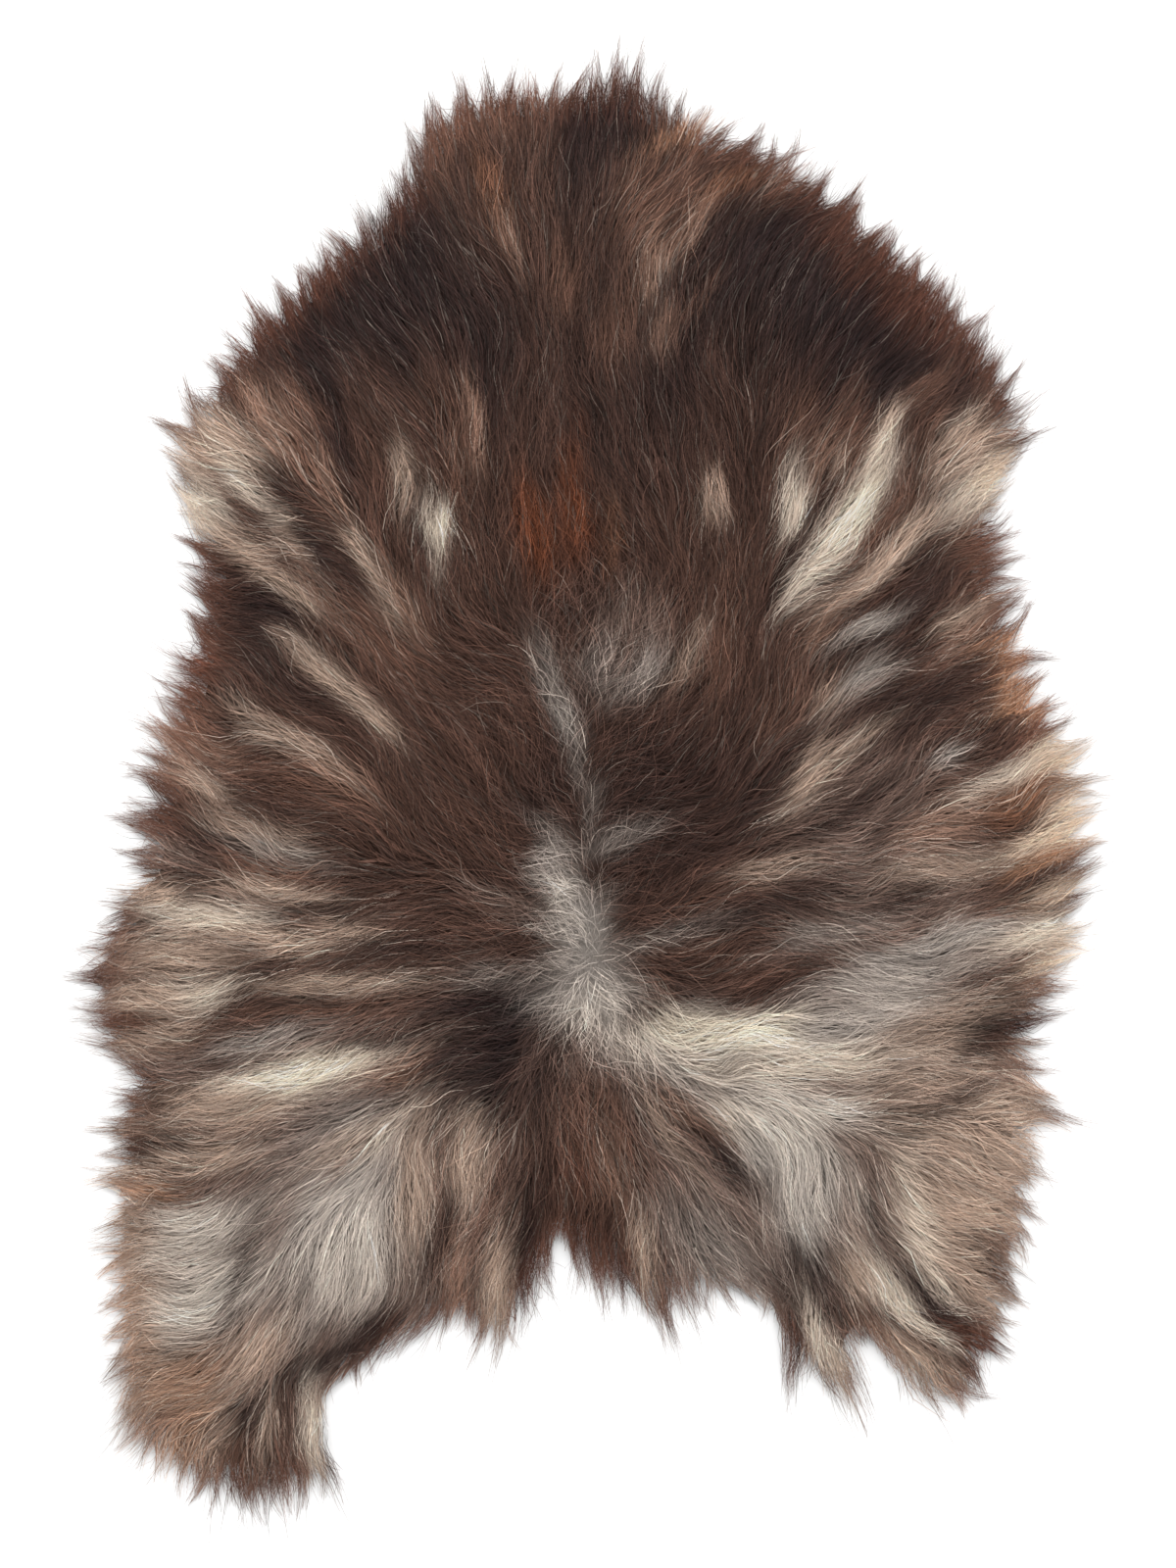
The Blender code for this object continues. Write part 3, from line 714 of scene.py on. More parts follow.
# Patches of colour, laid over each other in this order. length and width are half sizes.
# The grey, silver and paleGrey rows along the spine, from y 86 down to -192, are partly the wool's own
# silver and partly painted sheen where the hair turns
# Two dark rows on the left flank, at -276 -46 and at -290 -79, are painted shadows
patches = rowsOf("""
darkBrown 0 0 90 900 900 1.0
greyBrown -190 -330 60 160 110 0.8
greyBrown 230 -320 60 130 110 0.8
greyBrown 105 -335 305 80 44 0.9
beige 250 -190 10 90 40 0.8
darkBrown -230 60 140 140 90 0.45
beige -345 -345 190 34 120 0.7
beige 320 -300 90 90 26 0.6
greyBrown 215 -60 20 60 110 0.7
nearBlack -150 340 35 125 70 1.0
nearBlack 190 335 -35 130 66 1.0
dark -110 275 90 84 56 0.35
brown -120 285 95 34 10 0.35
dark 110 275 90 76 56 0.5
dark 20 300 90 130 60 0.8
dark 60 -10 20 100 56 0.8
brown 96 -126 12 84 24 0.25
darkBrown -80 -10 140 90 50 0.9
darkBrown -40 430 90 60 70 0.9
dark -4 450 90 54 20 0.85
nearBlack -2 466 88 34 18 0.5
nearBlack -128 405 100 36 22 0.95
brown -106 470 82 28 13 0.8
dark -82 455 110 16 11 0.85
warmBrown -70 428 106 36 9 0.6
tan -56 392 116 24 5 0.6
brown -75 486 86 20 14 0.7
brown -36 500 88 20 16 0.6
nearBlack 4 482 90 18 30 0.95
nearBlack 28 490 72 24 20 0.98
brown 36 425 84 44 12 0.85
tan 45 386 80 30 8 0.9
beige 49 370 72 16 5 0.35
brown -18 362 84 26 11 0.7
brown 20 338 78 34 16 0.7
tan 55 328 62 20 8 0.7
golden 78 478 26 32 6 0.7
brown 76 440 44 38 17 0.9
tan 74 404 52 32 6 0.8
warmBrown 104 436 36 28 8 0.7
dark 104 452 10 28 4 0.9
brown 150 450 50 28 14 0.9
nearBlack 160 414 26 48 10 0.95
nearBlack 102 372 58 50 20 0.9
brown 82 358 52 32 6 0.7
redBrown -206 395 122 14 40 0.5
redBrown -268 318 130 14 36 0.5
redBrown 244 386 48 14 60 0.5
redBrown 306 320 56 14 30 0.6
redBrown 214 368 -42 66 16 0.55
redBrown -214 354 42 60 12 0.4
nearBlack -70 300 80 50 24 0.6
nearBlack 62 300 70 44 20 0.6
darkBrown -150 250 100 60 24 0.9
brown -208 272 125 32 13 0.8
beige -290 238 140 26 14 0.9
nearBlack -180 240 98 40 9 0.8
tan -232 268 130 30 14 0.85
beige -262 245 138 32 18 0.95
brown -300 264 136 22 8 0.85
tan -222 246 124 32 9 0.85
brown -206 232 114 34 8 0.9
tan -190 215 104 26 8 0.65
cream -250 213 126 38 8 0.95
beige -218 182 120 22 5 0.7
cream -288 206 120 28 11 0.95
brown -262 205 130 32 6 0.9
darkBrown -240 185 126 30 8 0.95
beige -262 178 130 24 5 0.8
beige -230 153 133 34 7 0.9
beige -210 138 138 16 7 0.8
dark -218 203 115 32 6 0.98
nearBlack -200 170 106 28 7 0.9
dark -221 166 126 26 4 0.8
tan -190 136 130 40 8 0.5
nearBlack -245 128 140 38 20 1.0
redBrown -290 166 118 22 8 0.85
darkBrown -270 152 128 26 7 0.9
beige -165 170 110 22 5 0.85
beige -152 142 115 26 7 0.75
tan -136 132 118 28 9 0.7
dark -178 165 110 30 7 0.8
beige -138 224 95 26 7 0.9
cream -113 190 100 24 8 1.0
paleCream -112 186 98 12 5 0.9
nearBlack -127 190 100 22 4 0.8
brown -98 244 95 50 7 0.75
tan -85 254 95 28 5 0.85
rust -40 184 102 36 13 0.75
rust -10 190 90 32 11 0.75
rust -12 236 80 28 7 0.35
warmBrown 16 185 85 26 8 0.5
beige 93 203 105 16 8 0.85
tan 92 206 105 14 5 0.5
darkBrown 62 140 60 50 20 0.5
dark -240 100 135 40 18 0.9
redBrown -297 86 130 20 26 0.85
brown -290 42 132 28 18 0.85
tan -310 22 145 24 14 0.7
beige -192 80 140 34 10 0.85
beige -176 62 141 34 7 0.9
beige -152 44 132 16 6 0.8
brown -150 102 135 42 18 0.7
dark -205 60 150 44 6 0.7
dark -252 46 138 28 14 0.8
beige -216 28 151 48 10 0.9
brown -192 -10 150 50 16 0.8
tan -186 6 150 40 8 0.7
darkBrown -250 14 150 46 8 0.7
tan -276 24 150 34 9 0.5
tan -298 12 145 20 10 0.75
beige -288 5 150 22 7 0.75
darkBrown -292 -18 164 32 10 0.95
dark -276 -46 105 26 8 0.9
beige -245 -35 160 40 12 0.6
silver -225 -53 166 36 8 0.45
brown -230 -68 172 46 6 0.95
beige -222 -82 172 46 6 0.95
greyBrown -310 -55 165 26 12 0.85
beige -320 -82 175 32 10 0.9
dark -290 -79 100 14 6 0.7
cream -275 -98 178 46 10 0.95
beige -222 -112 172 54 7 0.9
darkBrown -105 -134 178 44 10 0.8
beige -165 -108 175 20 6 0.8
dark -190 -97 173 44 4 0.8
redBrown -352 -122 175 26 16 0.9
darkBrown -160 -45 155 44 20 0.6
darkBrown -150 -80 170 42 14 0.7
beige -300 -126 178 52 15 0.85
darkBrown -212 -132 187 52 7 0.95
dark -243 -141 197 24 6 0.85
dark -140 -120 178 40 8 0.9
beige -190 -147 182 58 7 0.95
cream -284 -155 186 28 11 0.95
beige -322 -158 180 28 12 0.95
brown -190 -166 184 74 6 0.9
beige -318 -188 200 34 12 0.8
darkBrown -262 -166 202 32 7 0.85
brown -295 -188 212 22 4 0.6
brown -350 -172 172 24 6 0.85
grey -235 -186 190 42 7 0.85
dark -148 -187 192 32 8 0.9
cream -212 -214 190 54 15 1.0
paleCream -196 -208 192 36 10 1.0
dark -252 -204 182 34 3 0.85
greyBrown -302 -210 186 28 10 0.85
beige -270 -238 185 54 15 0.9
tan -150 -215 200 32 11 0.8
darkBrown -166 -240 206 54 9 0.95
greyBrown -225 -268 216 30 10 0.8
darkBrown -330 -240 180 28 9 0.7
dark -326 -270 180 26 12 0.95
beige -282 -274 190 42 11 0.8
darkBrown -308 -305 190 34 4 0.7
golden -330 -300 180 26 10 0.6
grey -190 -300 245 70 40 0.7
greyBrown -224 -308 238 62 18 0.8
silver -180 -315 258 64 34 0.85
paleGrey -170 -350 264 44 34 0.7
cream -160 -262 215 26 8 0.9
beige -188 -270 215 26 8 0.7
brown -172 -272 226 28 4 0.9
paleGrey -290 -330 205 44 17 0.9
paleGrey -282 -378 215 54 26 0.95
dark -256 -356 258 40 9 0.9
grey -212 -385 262 26 18 0.6
beige -240 -415 230 32 15 0.85
golden -342 -395 195 22 66 0.45
dark -162 -404 240 26 9 0.9
nearBlack -150 -404 240 18 12 0.9
darkBrown -190 -410 235 20 6 0.5
nearBlack -205 -434 206 44 8 1.0
beige -308 -480 236 56 44 0.7
golden -300 -445 226 36 22 0.5
golden -300 -486 238 30 20 0.5
tan -325 -480 225 30 16 0.7
nearBlack -250 -466 262 24 5 1.0
brown -257 -502 262 26 9 0.85
darkBrown -225 -474 264 28 6 0.9
beige -237 -476 262 28 5 0.8
cream -205 -480 274 36 8 0.95
brown -208 -518 272 18 6 0.7
brown -230 -520 266 18 6 0.8
brown -282 -512 250 20 20 0.5
grey -28 74 108 40 10 0.85
silver -20 46 96 15 6 0.7
grey -8 20 95 30 6 0.6
dark -24 4 100 28 8 0.7
grey 4 -16 80 24 5 0.65
grey 8 84 80 26 12 0.6
grey 38 82 54 30 12 0.9
silver 44 86 54 20 5 0.5
beige 74 94 60 26 7 0.6
greyBrown 34 112 62 26 30 0.6
nearBlack 6 124 0 24 3 0.7
brown 97 96 82 42 9 0.6
greyBrown -60 -86 160 30 10 0.6
dark -40 -16 100 26 12 0.6
grey 22 -40 20 34 8 0.7
silver -25 -62 100 30 13 0.7
paleGrey -18 -88 82 20 10 0.95
silver -4 -108 70 26 22 0.95
brown 92 -84 20 44 9 0.3
grey 62 -112 14 66 8 0.6
dark 66 -50 14 54 8 0.6
dark 110 -98 14 50 9 0.6
grey -56 -146 180 40 12 0.7
silver 0 -146 90 32 30 0.9
paleGrey 6 -160 20 28 12 0.95
silver 14 -192 88 26 7 0.85
silver -44 -166 190 28 10 0.7
nearBlack -86 -166 176 40 9 0.98
nearBlack -62 -192 240 26 9 0.98
warmBrown -126 -214 208 20 9 0.5
nearBlack -74 -234 245 28 14 0.95
brown -2 -262 270 70 44 0.7
nearBlack -84 -200 235 58 28 0.85
dark -40 -215 250 44 22 0.7
greyBrown 38 -240 302 54 10 0.7
beige 62 -258 305 54 4 0.7
tan 76 -246 312 36 8 0.8
darkBrown 48 -268 300 50 4 0.5
beige -128 -292 268 54 14 0.85
beige -88 -276 270 38 15 0.9
brown -108 -290 266 34 3 0.7
redBrown -12 -286 270 18 12 0.6
tan 14 -282 275 26 10 0.45
dark -34 -290 265 44 16 0.7
dark -106 -326 252 34 10 1.0
redBrown -72 -316 262 34 7 0.6
greyBrown -132 -380 262 32 12 0.85
dark -148 -398 250 16 8 0.7
tan -95 -362 268 38 10 0.85
beige -66 -378 270 50 10 1.0
nearBlack -43 -348 267 44 7 0.98
dark 0 -340 275 28 24 0.55
brown 8 -372 275 16 20 0.4
nearBlack 30 -362 290 36 6 0.9
beige 42 -348 282 38 6 0.95
dark 54 -384 290 28 4 0.8
greyBrown 70 -346 296 46 8 0.85
dark 80 -334 300 26 5 0.9
greyBrown 98 -322 300 40 8 0.7
nearBlack 99 -276 309 34 6 0.9
silver 122 -278 308 32 9 0.85
cream 112 -246 332 26 11 0.98
greyBrown 96 -226 350 34 5 0.85
silver 112 -196 0 90 30 0.9
paleCream 88 -180 0 56 11 0.8
cream 76 -204 350 54 10 0.7
silver 52 -196 330 30 10 0.5
darkBrown 106 -152 12 70 6 0.6
paleCream 134 -178 0 26 10 1.0
silver 214 -162 25 66 20 0.85
cream 166 -206 4 62 14 0.8
nearBlack 322 -176 4 38 15 1.0
dark 285 -190 30 30 7 0.9
tan 340 -148 8 18 8 0.6
dark 308 -186 25 28 6 0.8
greyBrown 152 -227 5 48 4 0.9
greyBrown 226 -208 10 42 4 0.6
paleGrey 166 -240 345 52 11 0.95
dark 256 -240 18 34 7 0.85
dark 275 -222 45 28 7 0.95
greyBrown 292 -214 20 20 8 0.6
darkBrown 320 -204 355 22 4 0.8
beige 310 -246 340 28 24 0.9
brown 334 -250 355 22 5 0.7
beige 268 -300 320 66 44 0.6
beige 284 -270 335 42 14 0.85
paleGrey 156 -270 310 62 24 0.95
paleGrey 140 -268 310 40 12 0.7
silver 158 -308 282 40 24 0.9
greyBrown 192 -302 280 30 9 0.6
greyBrown 188 -332 280 28 14 0.7
greyBrown 212 -300 278 48 9 0.9
nearBlack 206 -320 270 22 6 0.8
darkBrown 228 -290 285 26 5 0.8
cream 246 -322 282 52 12 1.0
beige 282 -320 312 52 22 0.9
beige 280 -364 305 38 15 0.9
brown 314 -326 330 14 32 0.75
dark 301 -360 300 28 7 0.75
nearBlack 160 -354 270 18 24 0.8
dark 170 -381 350 36 7 0.9
darkBrown 124 -368 322 28 6 0.8
grey 96 -352 308 52 26 0.8
beige 194 -354 284 26 6 0.85
cream 224 -374 305 36 9 0.98
cream 244 -402 320 26 7 0.9
nearBlack 247 -376 308 34 6 1.0
nearBlack 280 -406 325 28 7 0.95
redBrown 290 -414 320 24 10 0.85
cream 177 -420 294 38 10 0.95
beige 188 -440 298 26 9 0.7
darkBrown 198 -450 300 26 8 0.75
redBrown 206 -462 305 16 6 0.85
dark 150 -428 268 40 8 0.95
tan 222 -415 310 34 8 0.9
beige 250 -425 315 34 10 0.8
darkBrown 240 -408 325 38 5 0.9
beige 246 -438 310 38 12 0.85
brown 276 -454 315 26 7 0.85
dark 246 65 25 60 20 0.85
silver 203 80 40 25 9 0.8
beige 178 66 45 20 8 0.8
brown 150 56 40 32 17 0.5
dark 136 5 50 42 9 0.9
beige 192 28 34 30 8 0.95
beige 160 2 62 30 10 0.9
dark 214 32 30 36 9 0.85
silver 262 18 40 15 6 0.8
dark 192 -18 40 44 8 0.8
dark 214 -36 62 26 7 0.7
tan 255 -30 36 34 14 0.8
beige 258 -62 10 32 13 0.7
beige 132 -62 10 28 9 0.6
darkBrown 300 40 30 26 14 0.95
golden 316 66 32 14 32 0.9
brown 268 90 25 30 8 0.8
redBrown 326 30 40 24 7 0.85
cream 318 8 26 44 8 0.98
blond 352 20 25 24 16 0.95
warmBrown 316 -14 20 30 16 1.0
blond 360 -26 15 24 22 0.95
blond 336 -43 15 36 7 0.85
golden 334 -56 20 30 6 0.9
blond 338 -82 20 28 8 0.8
brown 322 -86 24 24 4 0.7
brown 288 -95 15 44 9 0.85
dark 146 -86 10 42 14 0.8
grey 176 -112 15 44 8 0.7
dark 236 -82 22 32 8 0.8
cream 324 -112 14 36 11 0.98
silver 268 -112 15 36 10 0.85
blond 342 -130 5 26 9 0.85
darkBrown 292 -141 20 36 5 0.85
silver 216 -136 18 54 10 0.75
darkBrown 142 -148 15 40 5 0.7
dark 180 268 52 32 17 0.9
brown 152 258 72 24 10 0.7
brown 192 276 60 26 9 0.7
brown 246 284 50 30 9 0.8
tan 168 238 68 24 8 0.7
beige 211 250 62 22 7 0.9
cream 207 236 60 18 8 0.95
brown 190 242 66 28 9 0.9
beige 179 231 65 12 4 0.7
darkBrown 233 248 60 34 6 0.85
brown 250 256 60 26 9 0.7
beige 275 246 42 32 17 0.98
cream 281 212 36 34 13 0.95
blond 300 232 40 20 9 0.7
darkBrown 302 276 50 28 10 0.95
darkBrown 300 312 60 30 12 0.85
cream 148 205 90 26 8 0.98
dark 164 196 80 36 5 0.9
cream 188 194 56 46 12 1.0
paleCream 190 196 56 30 8 1.0
brown 216 192 52 44 8 0.7
beige 240 185 42 26 8 0.85
brown 262 192 42 26 5 0.75
tan 272 180 30 30 5 0.6
beige 216 162 36 26 9 0.9
dark 248 164 34 26 9 0.9
brown 296 168 24 30 8 0.9
cream 164 152 50 30 9 0.98
beige 188 137 34 38 7 0.9
dark 138 148 64 38 7 0.95
dark 190 127 30 42 4 0.8
dark 236 130 36 42 11 0.95
silver 202 111 26 28 6 0.8
dark 244 102 30 28 9 0.75
dark 206 103 28 40 4 0.6
beige 278 122 30 22 7 0.8
brown 288 140 25 24 6 0.7
brown 310 130 10 18 8 0.7
golden 316 104 26 22 8 0.85
tan 172 114 42 26 8 0.7
tan 285 108 30 24 10 0.7
""", ("tone",) + ovalColumns + ("share",))

patchTone = np.array([toneNames.index(name) for name in patches["tone"]])

# Lightness is a share of white; a pair holds what goes for dark and for pale wool, or from and over
colouring = {
    "warp": 4.0,  # how far a patch's edge strays
    "warpSize": 34.0,
    "edgePower": 1.6,
    "edgeFall": 0.8,
    "fingers": 5.0,  # how far locks of one colour reach into the next
    "fineFingers": 0.6,
    "contrast": 0.07,
    "middle": 0.12,
    "saturation": 1.2,
    "darkest": 0.004,
    "lightest": 0.9,
    "hairSpread": 0.48,  # one hair's lightness against its neighbours'
    # dark wool gets the larger spread: partly its own mixed hairs, partly painted highlights on dark hairs
    "spreadAndHighlightShares": (1.15, 0.61),
    "spreadPaleAt": 0.38,
    "clumpSpread": 0.06,
    # streaks of lightness along the flow: partly the locks' own tone, partly painted shade between locks
    "streaks": 0.06,
    "fineStreaks": 0.06,
    "ownShare": 0.22,  # how much of a hair's colour is one colour all along it
    "strayed": 3.0,  # how far aside a hair may take its colour from
    "paleHairs": 0.14,
    "paleHairShares": (0.35, 1.2),  # fewer of them in dark wool
    "paleHairCream": 0.45,
    "creamShares": (0.25, 1.0),
    "creamPerLight": 6.0,
    "darkHairs": 0.11,
    "darkHairKeeps": (0.5, 0.7),  # of its own colour
    "darkKeepsPaleAt": 0.4,
    # painted shade: how much darker the roots are, deep in the wool
    "rootShade": 0.35,
    "rootEnds": 0.45,
    "tipBand": (12, 24),  # mm inside the rim where tips start to turn, and over how far
    "tipShares": (0.2, 1.0),
    "tipRun": (0.4, 0.5),
    "tipPale": (0.10, 0.16),
    "tipInDark": (0.7, 0.5),  # tip brown and the hair's own colour
    "tipInPale": (0.25, 0.78),  # tan and the hair's own colour
    "gain": 1.19,
}


def woolColour(x, y):
    # The wool's colour at places on the skin, with the patches' edges strayed
    warp, size = colouring["warp"], colouring["warpSize"]
    x, y = x + warp * softNoise(x, y, size, 21), y + warp * softNoise(x, y, size, 22)
    colour = np.zeros(x.shape + (3,))
    for tone, (*oval, share) in zip(patchTone, eachRow(patches, ovalColumns + ("share",))):
        along, aside = inOval(x, y, *oval)
        inside = (along**2 + aside**2) ** colouring["edgePower"]
        weight = share * np.exp(-inside * colouring["edgeFall"])[..., None]
        colour = colour * (1 - weight) + toneTable[tone] * weight
    grey = colour.mean(axis=-1, keepdims=True)
    colour = grey + colouring["saturation"] * (colour - grey)
    return np.maximum(colour * (grey / colouring["middle"]) ** colouring["contrast"], colouring["darkest"])


def fingeredColour():
    # Neighbouring locks carry their colour unequally far along the flow
    shift = colouring["fingers"] * (streakMap + colouring["fineFingers"] * fineStreakMap)
    return woolColour(gridX - flowMap[..., 0] * shift, gridY - flowMap[..., 1] * shift)


colourMap = fingeredColour()
print("colour map made from", len(patchTone), "patches")


# Tracing the hairs


def across(direction):
    return np.stack([-direction[..., 1], direction[..., 0]], axis=-1)


def tracePaths(x, y, length, wave, waveLength, phase):
    # Follows the flow from each root, swinging from side to side
    steps = wool["steps"]
    points = [np.stack([x, y], axis=-1)]
    for step in range(steps):
        here = points[-1]
        direction = sample(flowMap, here[:, 0], here[:, 1])
        direction /= np.linalg.norm(direction, axis=-1, keepdims=True)
        run = (step + 0.5) / steps * length
        swing = wave * np.sin(2 * math.pi * run / waveLength + phase)
        points.append(here + turned(direction, swing) * (length / steps)[:, None])
    return np.stack(points, axis=1)


def resampled(paths, share, points):
    # The first part of each path, given by share, as this many points
    steps = paths.shape[1] - 1
    t = np.linspace(0, 1, points)[None, :] * share[:, None] * steps
    i = np.minimum(t.astype(int), steps - 1)
    f = (t - i)[..., None]
    rows = np.arange(len(paths))[:, None]
    return paths[rows, i] * (1 - f) + paths[rows, i + 1] * f


wisps = {
    "perTuft": 5,  # lesser wisps beside each tuft of the table
    "aside": 13.0,  # the farthest from its tuft
    "closerPast": 32.0,  # tufts longer than this have their wisps closer
    "closest": 0.35,
    "back": 11.0,  # how far a wisp may stay behind its tuft
    "past": 3.5,  # how far the thinnest hairs go past a tuft's seen tip
    "rootedInside": 14.0,
    "leastTuft": 30.0,
    "tuftLengths": (0.9, 1.15),
    "tuftWidth": (3.0, 6.0),
    "length": (26, 44),
    "lengthShare": 0.6,  # of its tuft's length, at least
    "width": (1.4, 3.6),
    "fanned": 1.1,  # degrees that a wisp turns away for each mm aside
    "turn": 7.0,
    "curl": 4.5,
}


def withSideTips():
    # Each tuft of the table, and lesser wisps beside it that reach less far
    rng = np.random.default_rng(5)
    tips = np.column_stack([tufts["x"], tufts["y"]])
    heading = sample(straightFlow, tips[:, 0], tips[:, 1])
    heading /= np.linalg.norm(heading, axis=1, keepdims=True)
    count = len(tips)
    length = wisps["rootedInside"] - sample(depthMap, tips[:, 0], tips[:, 1])
    length = np.maximum(length, wisps["leastTuft"]) * rng.uniform(*wisps["tuftLengths"], count)
    allTips, allHeadings, allReach = [tips + heading * wisps["past"]], [heading], [length + wisps["past"]]
    allWidths = [rng.uniform(*wisps["tuftWidth"], count)]
    for k in range(wisps["perTuft"]):
        aside = wisps["aside"] * (2 * (k + rng.random(count)) / wisps["perTuft"] - 1)
        aside *= np.clip(wisps["closerPast"] / length, wisps["closest"], 1)
        back = np.abs(aside) * rng.uniform(0.0, 1.0, count) + rng.uniform(0, wisps["back"], count)
        angle = np.radians(wisps["fanned"] * aside + rng.normal(0, wisps["turn"], count))
        allTips.append(tips - heading * back[:, None] + across(heading) * aside[:, None])
        allHeadings.append(turned(heading, angle))
        allReach.append(np.maximum(rng.uniform(*wisps["length"], count), wisps["lengthShare"] * length))
        allWidths.append(rng.uniform(*wisps["width"], count))
    drawn = (allTips, allHeadings, allReach, allWidths)
    tips, headings, reach, widths = (np.concatenate(rows) for rows in drawn)
    kept = ovals(gaps, tips[:, 0], tips[:, 1]) < clearing["wisps"]
    kept[:count] = True
    curls = rng.normal(0, wisps["curl"], len(tips))
    return tuple(rows[kept] for rows in (tips, headings, reach, widths, curls))


tuftTips, tuftHeading, tuftReach, tuftWidth, tuftCurl = withSideTips()


leastPast = 4.0  # mm past the rim that any hair may reach


def reachedTo(paths, allowed):
    # The share of each path at which it leaves the allowed reach past the rim
    x, y = paths[..., 0], paths[..., 1]
    limit = sample(reachMap, x, y) * allowed[:, None]
    over = clearing["hair"] * ovals(gaps, x, y) - sample(depthMap, x, y) > np.maximum(limit, leastPast)
    first = np.where(over.any(axis=1), over.argmax(axis=1), paths.shape[1] - 1)
    return first / (paths.shape[1] - 1)


# How hairs near the rim gather into tufts. A reach is the longest, what the shortest lacks, and a power
gathering = {
    "from": 6.0,  # mm inside the rim
    "asideCounts": 1.6,  # in choosing the nearest tuft
    "behindCounts": 0.5,
    "widthPull": 0.6,
    "heldReach": (1.3, 0.95, 0.8),  # of its tuft's length
    "looseReach": (1.2, 0.95, 0.6),
    "leastRun": 8.0,
    "stretch": (0.4, 3.2),
    "gripStart": 0.15,
    "looseGrip": (0.0, 0.5),  # how much of its own place a hair gives up
    "heldGrip": (0.6, 0.95),
    "pointPast": 1.05,
    "pointPower": 0.8,
    "fill": 0.45,  # of its half width, and how many mm more
    "fillMore": 0.7,
    "curlSpread": 1.5,
    "curlPower": 2.2,
}


def gatheredToTufts(paths, rng, settings):
    # Draws the ends of hairs near the rim into pointed tufts; a share of them stays loose
    ends = paths[:, -1]
    near = np.flatnonzero(sample(depthMap, ends[:, 0], ends[:, 1]) < gathering["from"])
    gap = ends[near][:, None, :] - tuftTips[None]
    along = (gap * tuftHeading[None]).sum(axis=2)
    aside = (gap * across(tuftHeading)[None]).sum(axis=2)
    behind = np.where(along > 0, along, along * gathering["behindCounts"])
    score = np.hypot(aside * gathering["asideCounts"], behind) / tuftWidth ** gathering["widthPull"]
    which = score.argmin(axis=1)

    length = tuftReach[which][:, None]
    base = (tuftTips[which] - tuftHeading[which] * length)[:, None, :]
    heading = tuftHeading[which][:, None, :]
    side = across(heading)
    rel = paths[near] - base
    along = (rel * heading).sum(axis=2)
    aside = (rel * side).sum(axis=2)
    free = rng.random(len(near)) < settings["loose"]
    held, strayed = (
        longest - lacking * rng.random(len(near)) ** power
        for longest, lacking, power in (gathering["heldReach"], gathering["looseReach"])
    )
    wanted = length[:, 0] * np.where(free, strayed, held) * settings["toTip"]
    last = np.maximum(along[:, -1:], gathering["leastRun"])
    ratio = np.clip(wanted[:, None] / last, *gathering["stretch"])
    along = np.where(along > 0, along * (1 + (ratio - 1) * eased(along / last)), along)

    share = eased(along / length + gathering["gripStart"])
    place = np.clip(along / length, 0, 1.2)
    pointed = np.clip(gathering["pointPast"] - place, 0, 1) ** gathering["pointPower"]
    half = tuftWidth[which][:, None] * pointed
    middle = rng.normal(0, 1, len(near))[:, None] * (gathering["fill"] * half + gathering["fillMore"])
    looseGrip = rng.uniform(*gathering["looseGrip"], len(near))
    heldGrip = rng.uniform(*gathering["heldGrip"], len(near))
    grip = share * np.where(free, looseGrip, heldGrip)[:, None]
    curl = tuftCurl[which] + rng.normal(0, gathering["curlSpread"], len(near))
    aside = aside * (1 - grip) + middle * grip + curl[:, None] * place ** gathering["curlPower"]
    moved = paths.copy()
    moved[near] = base + heading * along[..., None] + side * aside[..., None]
    return moved


# How clumps and the hairs in them differ. A pair holds the least and the most share
growth = {
    "jitter": 0.28,  # of the roots' spacing
    "rootsPast": 4.0,  # mm past the rim that roots may stand
    "rimRootsPast": 9.0,
    "lengths": (0.75, 1.25),
    "rimBand": 45.0,  # clumps this near the rim are long enough to hang past it
    "rimLength": 1.15,  # of the rim's reach, and how many mm more
    "rimMore": 14.0,
    "swayLength": (36, 62),  # mm from one swing of a lock to the next
    "sway": (0.3, 1.1),
    "swaySize": 60.0,
    "swayShift": 1.5,
    "swayStray": 0.6,
    "narrowingCalm": 0.7,  # how much less clumps narrow beside the spine
    "driftCalm": 1.4,  # how much more hairs drift and cross there
    "crossingCalm": 2.5,
    "narrowsBy": 1.1,
    "curlTurns": (1.2, 3.2),
    "curlPhase": 6.3,
    "curls": (0.2, 1.0),
    "alongClump": 0.9,
    "reach": (1.1, 0.55, 1.4),  # the longest, what the shortest lacks, and a power
    "grown": (0.62, 1.0),
    "leastGrown": 0.15,  # hairs cut shorter than this are left out
    "farthest": 1.7,  # spreads from the middle that a hair may stray
}
rootHalf = (410, 580)


def clumpRoots(spacing, rng, least):
    # Roots in staggered rows, each a little off its place, from this depth inside the rim
    gap = spacing * math.sqrt(3) / 2
    columns, rows = int(2 * rootHalf[0] / spacing), int(2 * rootHalf[1] / gap)
    j, i = np.meshgrid(np.arange(rows), np.arange(columns), indexing="ij")
    jitter = spacing * growth["jitter"]
    x = (-rootHalf[0] + (i + 0.5 * (j % 2)) * spacing).ravel() + rng.normal(0, jitter, rows * columns)
    y = (-rootHalf[1] + j * gap).ravel() + rng.normal(0, jitter, rows * columns)
    inside = sample(depthMap, x, y) > least
    return x[inside], y[inside]


def rimRoots(settings, rng):
    # Roots beside the rim only, evenly spread
    x, y = clumpRoots(settings["spacing"], rng, -growth["rimRootsPast"])
    near = sample(depthMap, x, y) < settings["inward"]
    return x[near], y[near]


def mostly(rng, count):
    # Normal values without the far ones, which would leave single hairs askew
    return np.clip(rng.normal(0, 1, count), -growth["farthest"], growth["farthest"])


